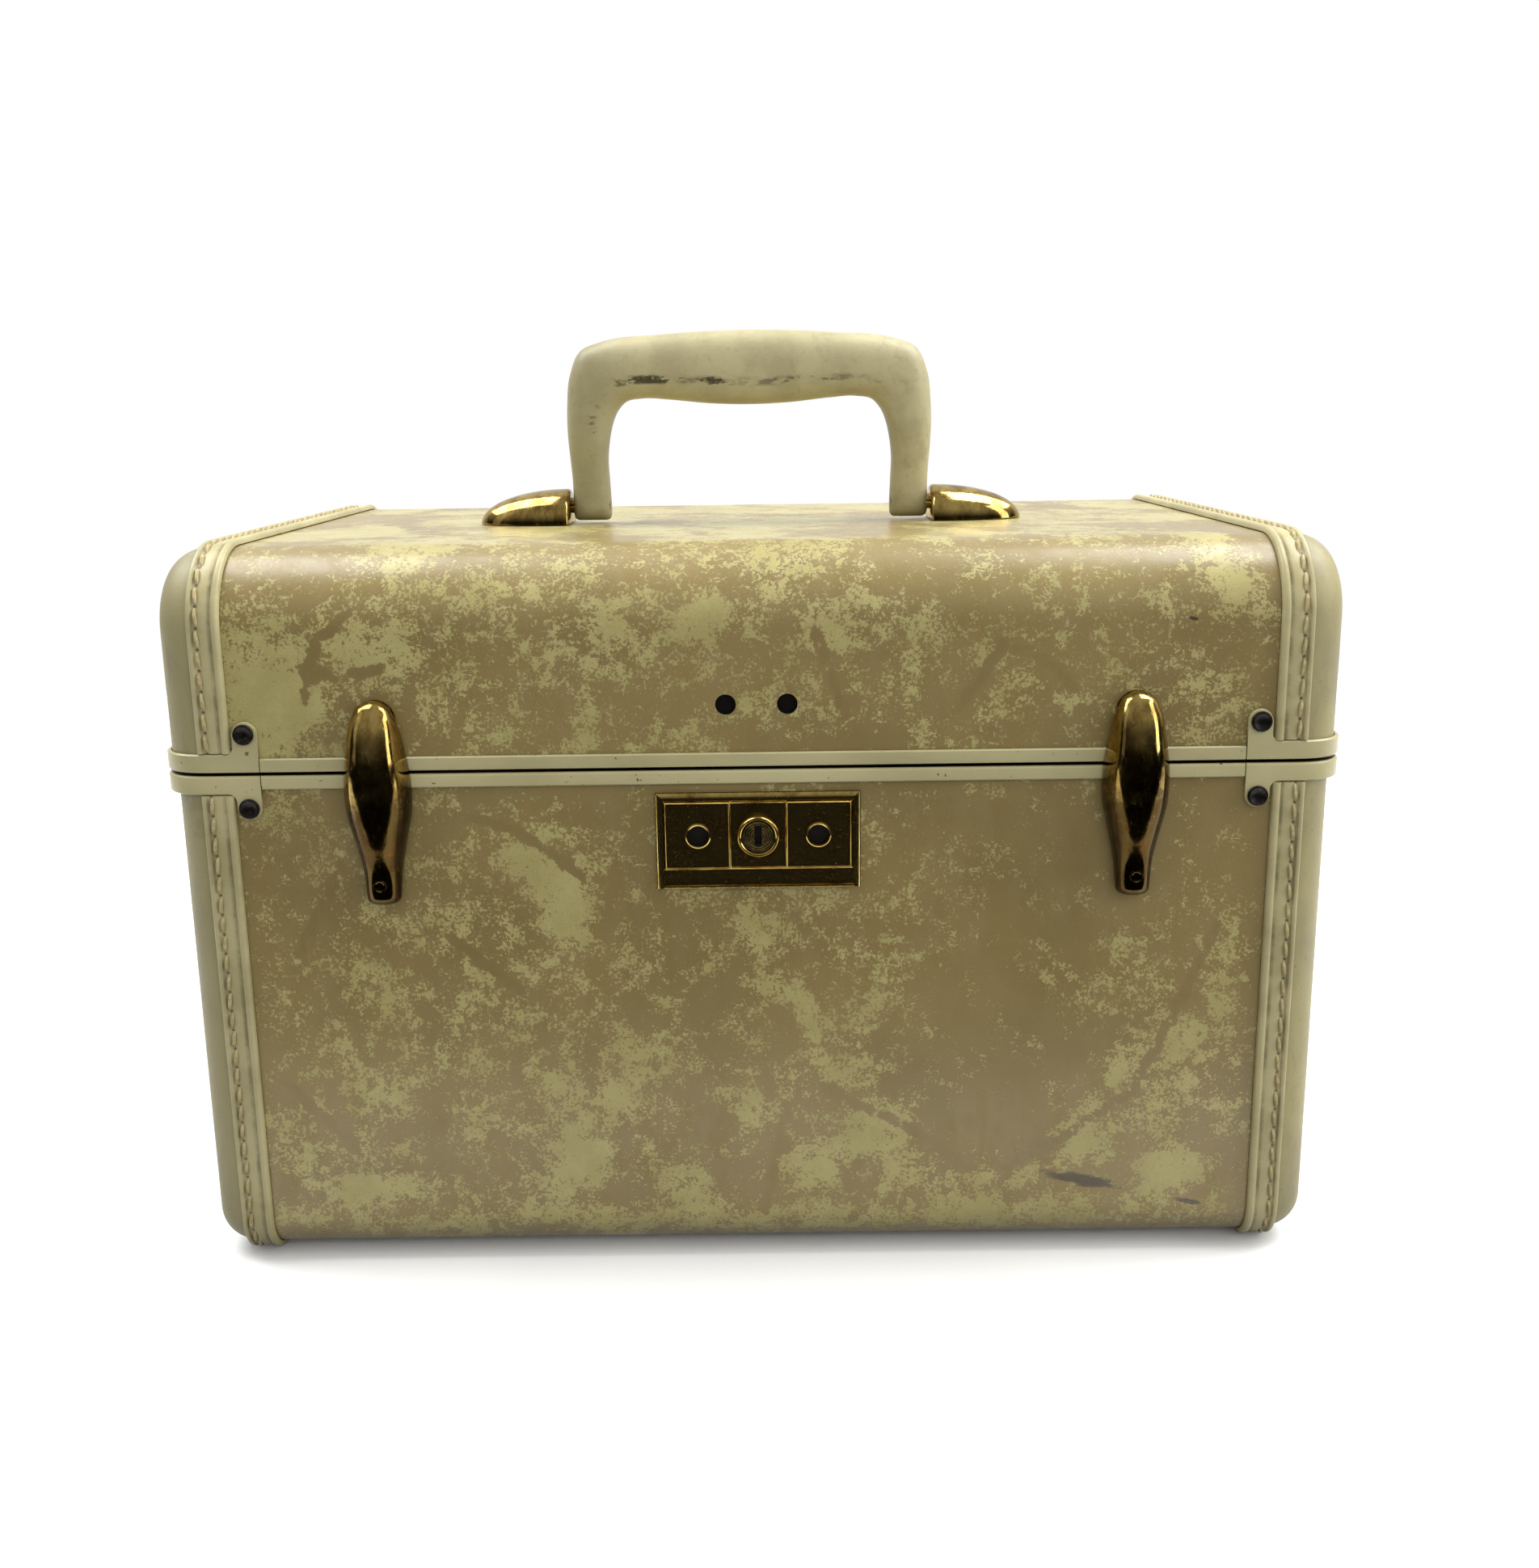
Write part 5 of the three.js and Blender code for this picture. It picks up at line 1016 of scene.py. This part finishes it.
mirrored = (-1, 1, -1, 1, 1)
full_shares = np.concatenate([handle_shares * mirrored, handle_shares[::-1][1:]])
knots = length_along((full_shares[:, :2] + full_shares[:, 2:4]) / 2 * (half_span, handle_rise))
line = through(np.column_stack([knots, full_shares]), np.linspace(0, knots[-1], 180))
foot_turn = np.linspace(0, quarter_turn, 9)[:-1]
foot_line = np.tile(line[0], (len(foot_turn), 1))
foot_line[:, [1, 3]] -= handle_foot * np.cos(foot_turn)[:, None] / handle_rise
foot_line[:, 4] = handle_foot * np.sin(foot_turn) / half_thick
rounding = foot_round * (1 - np.sqrt(1 - np.cos(foot_turn) ** 6)) / half_span
foot_line[:, 0] += rounding
foot_line[:, 2] -= rounding
line = np.concatenate([foot_line, line, foot_line[::-1] * mirrored])
outer = line[:, 0:2] * (half_span, handle_rise)
inner = line[:, 2:4] * (half_span, handle_rise)
turn = np.linspace(0, 2 * np.pi, 49)[:-1]
in_depth, in_plane = (np.sign(wave) * np.abs(wave) ** (2 / handle_square)
                      for wave in (np.cos(turn), np.sin(turn)))
spread = (outer - inner)[:, None, :] / 2 * in_plane[:, None]
spots = ((outer + inner) / 2)[:, None, :] + spread
x, z = handle_x + spots[..., 0], handle_pivot_z + spots[..., 1]
y = handle_y + half_thick * line[:, 4:5] * in_depth
# Dirt lies along the front of the grip, a third of the way up it, and down the left leg.
grip_band = np.exp(-((in_plane + 0.4) / 0.12) ** 2) * (in_depth < 0)
leg_band = np.exp(-((in_plane + 0.25) / 0.3) ** 2) * (in_depth < 0)
smears = 0.55 + sum(strength * np.exp(-((x - middle) / reach) ** 2)
                    for middle, reach, strength in grip_smears)
leg_smear = 0.8 * np.exp(-((spots[..., 1] - leg_smear_up) / leg_smear_half) ** 2)
dirt = grip_band * smears * (np.abs(x) < grip_half) + leg_band * leg_smear * (x < -grip_half)
piece("handle_moulding", np.stack([x, y, z], axis=-1), tube_faces(*x.shape), handle_finish, "handle",
      ["handle"], values={"dirt": dirt})


# Handle caps: pressed brass half domes, closed beneath and riveted to the lid from inside. Each
# carries the pin that one leg of the handle turns on.
cap_base, cap_length, cap_half, cap_rise, cap_edge = half_span - 0.8, 30.7, 12.6, 11.2, 1.2
pin_radius, pin_end = 2.6, corner_of("handle_cap_right", 0)[0] - handle_x
cap_floor = shell_far["lid"] + joint_gap
along = np.sin(np.linspace(0, quarter_turn, 24))[1:]
edge_turn = np.linspace(0, quarter_turn, 6)
cap_x = np.concatenate([[0], cap_edge - cap_edge * np.cos(edge_turn),
                        cap_edge + (cap_length - cap_edge) * along])
cap_swell = np.concatenate([[0], 1 - 0.1 * (1 - np.sin(edge_turn)), np.sqrt(1 - along ** 2)])
half_turn = np.linspace(0, np.pi, 33)
pin_turn = np.linspace(0, 2 * np.pi, 25)[:-1]
for end, sign in ends.items():
    y = handle_y + (cap_half * cap_swell)[:, None] * np.cos(half_turn)
    z = cap_floor + (cap_rise * cap_swell)[:, None] * np.sin(half_turn)
    x = np.broadcast_to(handle_x + sign * (cap_base + cap_x)[:, None], y.shape)
    dome = np.stack([x, y, z], axis=-1).reshape(-1, 3)
    pin_x = handle_x + sign * np.array([[pin_end], [cap_base + 3]]) + 0 * pin_turn
    pin = np.stack([pin_x, handle_y + pin_radius * np.cos(pin_turn) + 0 * pin_x,
                    handle_pivot_z + pin_radius * np.sin(pin_turn) + 0 * pin_x], axis=-1)
    faces = grid_faces(*x.shape, closed=True).tolist()
    faces += [[corner + len(dome) for corner in face] for face in tube_faces(2, len(pin_turn))]
    piece(f"handle_cap_dome_{end}", np.concatenate([dome, pin.reshape(-1, 3)]), faces,
          handled_brass_and_dark_reflection, "lid", [f"handle_cap_{end}"])


# Hinge rivets: low turned brass heads that hold the strap hinges to the shells' backs, two to a
# leaf and four to a hinge. Their shanks go through the board.
leaf_rise, leaf_offset = 11.5, 11.0
low_head = [(0, 1.0), (2.2, 1.0), (2.3, -1.6), (2.1, -1.95), (1.6, -2.2), (0.9, -2.35), (0, -2.4)]
for half, side in halves.items():
    for end in ends:
        leaf_low, leaf_high = (corner_of(f"hinge_leaf_base_{end}", k) for k in (0, 1))
        leaf_x = (leaf_low[0] + leaf_high[0]) / 2
        for number, beside in enumerate((-leaf_offset, leaf_offset)):
            turned_part(f"{half}_hinge_rivet_{end}_{number}", low_head, leaf_x + beside,
                        seam_z + side * leaf_rise, brass, half, (), 24, y=half_depth)


# Everything else keeps its CAD shape: hinges, lock works, latch works, stay, linings, mirror and
# tray. Each gets its finish, and normals that are smooth over gentle edges.
steel, tree, shader, place = new_finish("zinc-plated steel", 0.32, Metallic=1.0)
# Plated pins, hooks and lock works: grey and bright, with dull bloom in small clouds.
steel_colour = coat(tree, place, "#9d9c98", "#6f6d68", 3, (0.35, 0.7), detail=5)
give_face(tree, shader, place, steel_colour, 0.8, 0.03)

lining_finish, tree, shader, place = new_finish("watered rayon satin on board", 0.55,
                                                Sheen_Weight=0.3)
# Satin pressed to a watered pattern and glued to board: a soft sheen, brown foxing, and slanting
# bands that come every 15 mm along each axis. A wave of scale 1 has ten radians to the metre.
band_pitch, band_depth = 15.08, 0.15
bands = add(tree, "TexWave", {"Vector": place, "Scale": 2 * np.pi / (10 * band_pitch * mm),
                              "Distortion": 0.6}, "Fac", bands_direction="DIAGONAL")
faint_bands = add(tree, "Math", {0: bands, 1: 0.18}, operation="MULTIPLY")
foxed = coat(tree, place, "#c9ab7c", "#a98a5b", 35, (0.42, 0.72), detail=6, roughness=0.65)
satin_colour = add(tree, "Mix", {0: faint_bands, 6: foxed, 7: "#8a6c42"}, 2, data_type="RGBA")
relief = add(tree, "Bump", {"Height": bands, "Distance": band_depth * mm})
tree.links.new(satin_colour, shader.inputs["Base Color"])
tree.links.new(relief, shader.inputs["Normal"])

board_finish, tree, shader, place = new_finish("cloth-covered board", 0.7, Sheen_Weight=0.3)
# The mirror's frame, millboard under cloth: matt, rubbed darker in patches, with a fine tooth.
board_colour = coat(tree, place, "#b49468", "#8f7148", 12, (0.4, 0.7), detail=5)
give_face(tree, shader, place, board_colour, 1, 0.15)

mirror_finish, tree, shader, place = new_finish("silvered glass", 0.02, Metallic=1.0)
# Plate glass silvered behind: clear reflections, with grey spots where the silver has gone.
mirror_colour = coat(tree, place, "#e6eaea", "#8d8a80", 8, (0.66, 0.74), 0.7, detail=6,
                     roughness=0.7)
tree.links.new(mirror_colour, shader.inputs["Base Color"])

tray_finish, tree, shader, place = new_finish("vacuum-formed styrene, cream", 0.35)
# Thin formed plastic: satin and faintly uneven, yellowed in drifts, with stains from jars.
yellowed = coat(tree, place, "#c9bd95", "#b3a67b", 40, (0.38, 0.68), detail=5)
tray_colour = coat(tree, place, yellowed, "#86774f", 9, (0.6, 0.74), 0.35, detail=5, roughness=0.7)
give_face(tree, shader, place, tray_colour, 1.5, 0.05)

finish_of = {"shell": shell_finish, "end_cap": cap_finish, "binding": binding_finish,
             "rim": rim_finish, "rivet": rivet_finish, "brass": brass, "steel": steel,
             "handle": handle_finish, "lining": lining_finish, "mirror_frame": board_finish,
             "mirror": mirror_finish, "tray": tray_finish}
own_finish = {"lock_plug": plug_finish}
soft_angle = 32


def soften(mesh):
    """Corner normals for a mesh of loose triangles: at each place the faces' normals, weighted by
    area, are added up over the faces that lie within the soft angle of the corner's own."""
    count = len(mesh.polygons)
    corners = np.zeros(count * 3, np.int32)
    mesh.loops.foreach_get("vertex_index", corners)
    places = np.zeros(len(mesh.vertices) * 3)
    mesh.vertices.foreach_get("co", places)
    spots = places.reshape(-1, 3)[corners]
    edges = spots.reshape(count, 3, 3)
    cross = np.repeat(np.cross(edges[:, 1] - edges[:, 0], edges[:, 2] - edges[:, 0]), 3, axis=0)
    unit = cross / (np.linalg.norm(cross, axis=1)[:, None] + 1e-18)
    _, group = np.unique(np.round(spots / (0.005 * mm)).astype(np.int64), axis=0, return_inverse=True)
    group = group.ravel()
    order = np.argsort(group, kind="stable")
    sizes = np.bincount(group)
    starts = np.cumsum(sizes) - sizes
    # Every corner is paired with each corner at its place, itself too.
    partners = sizes[group]
    own = np.repeat(np.arange(count * 3), partners)
    turn_in_group = np.arange(len(own)) - np.repeat(np.cumsum(partners) - partners, partners)
    other = order[starts[group[own]] + turn_in_group]
    close = (unit[own] * unit[other]).sum(axis=1) > np.cos(np.radians(soft_angle))
    result = np.column_stack([np.bincount(own, cross[other, axis] * close, count * 3)
                              for axis in range(3)])
    result /= np.linalg.norm(result, axis=1)[:, None] + 1e-18
    mesh.shade_smooth()
    mesh.normals_split_custom_set(result.tolist())


for row in frame["record"]["subparts"]:
    node = frame["nodes"][row["node"]]
    node.data.materials.clear()
    node.data.materials.append(own_finish.get(row["node"], finish_of[row["material_slot"]]))
    if not node.hide_render:
        soften(node.data)
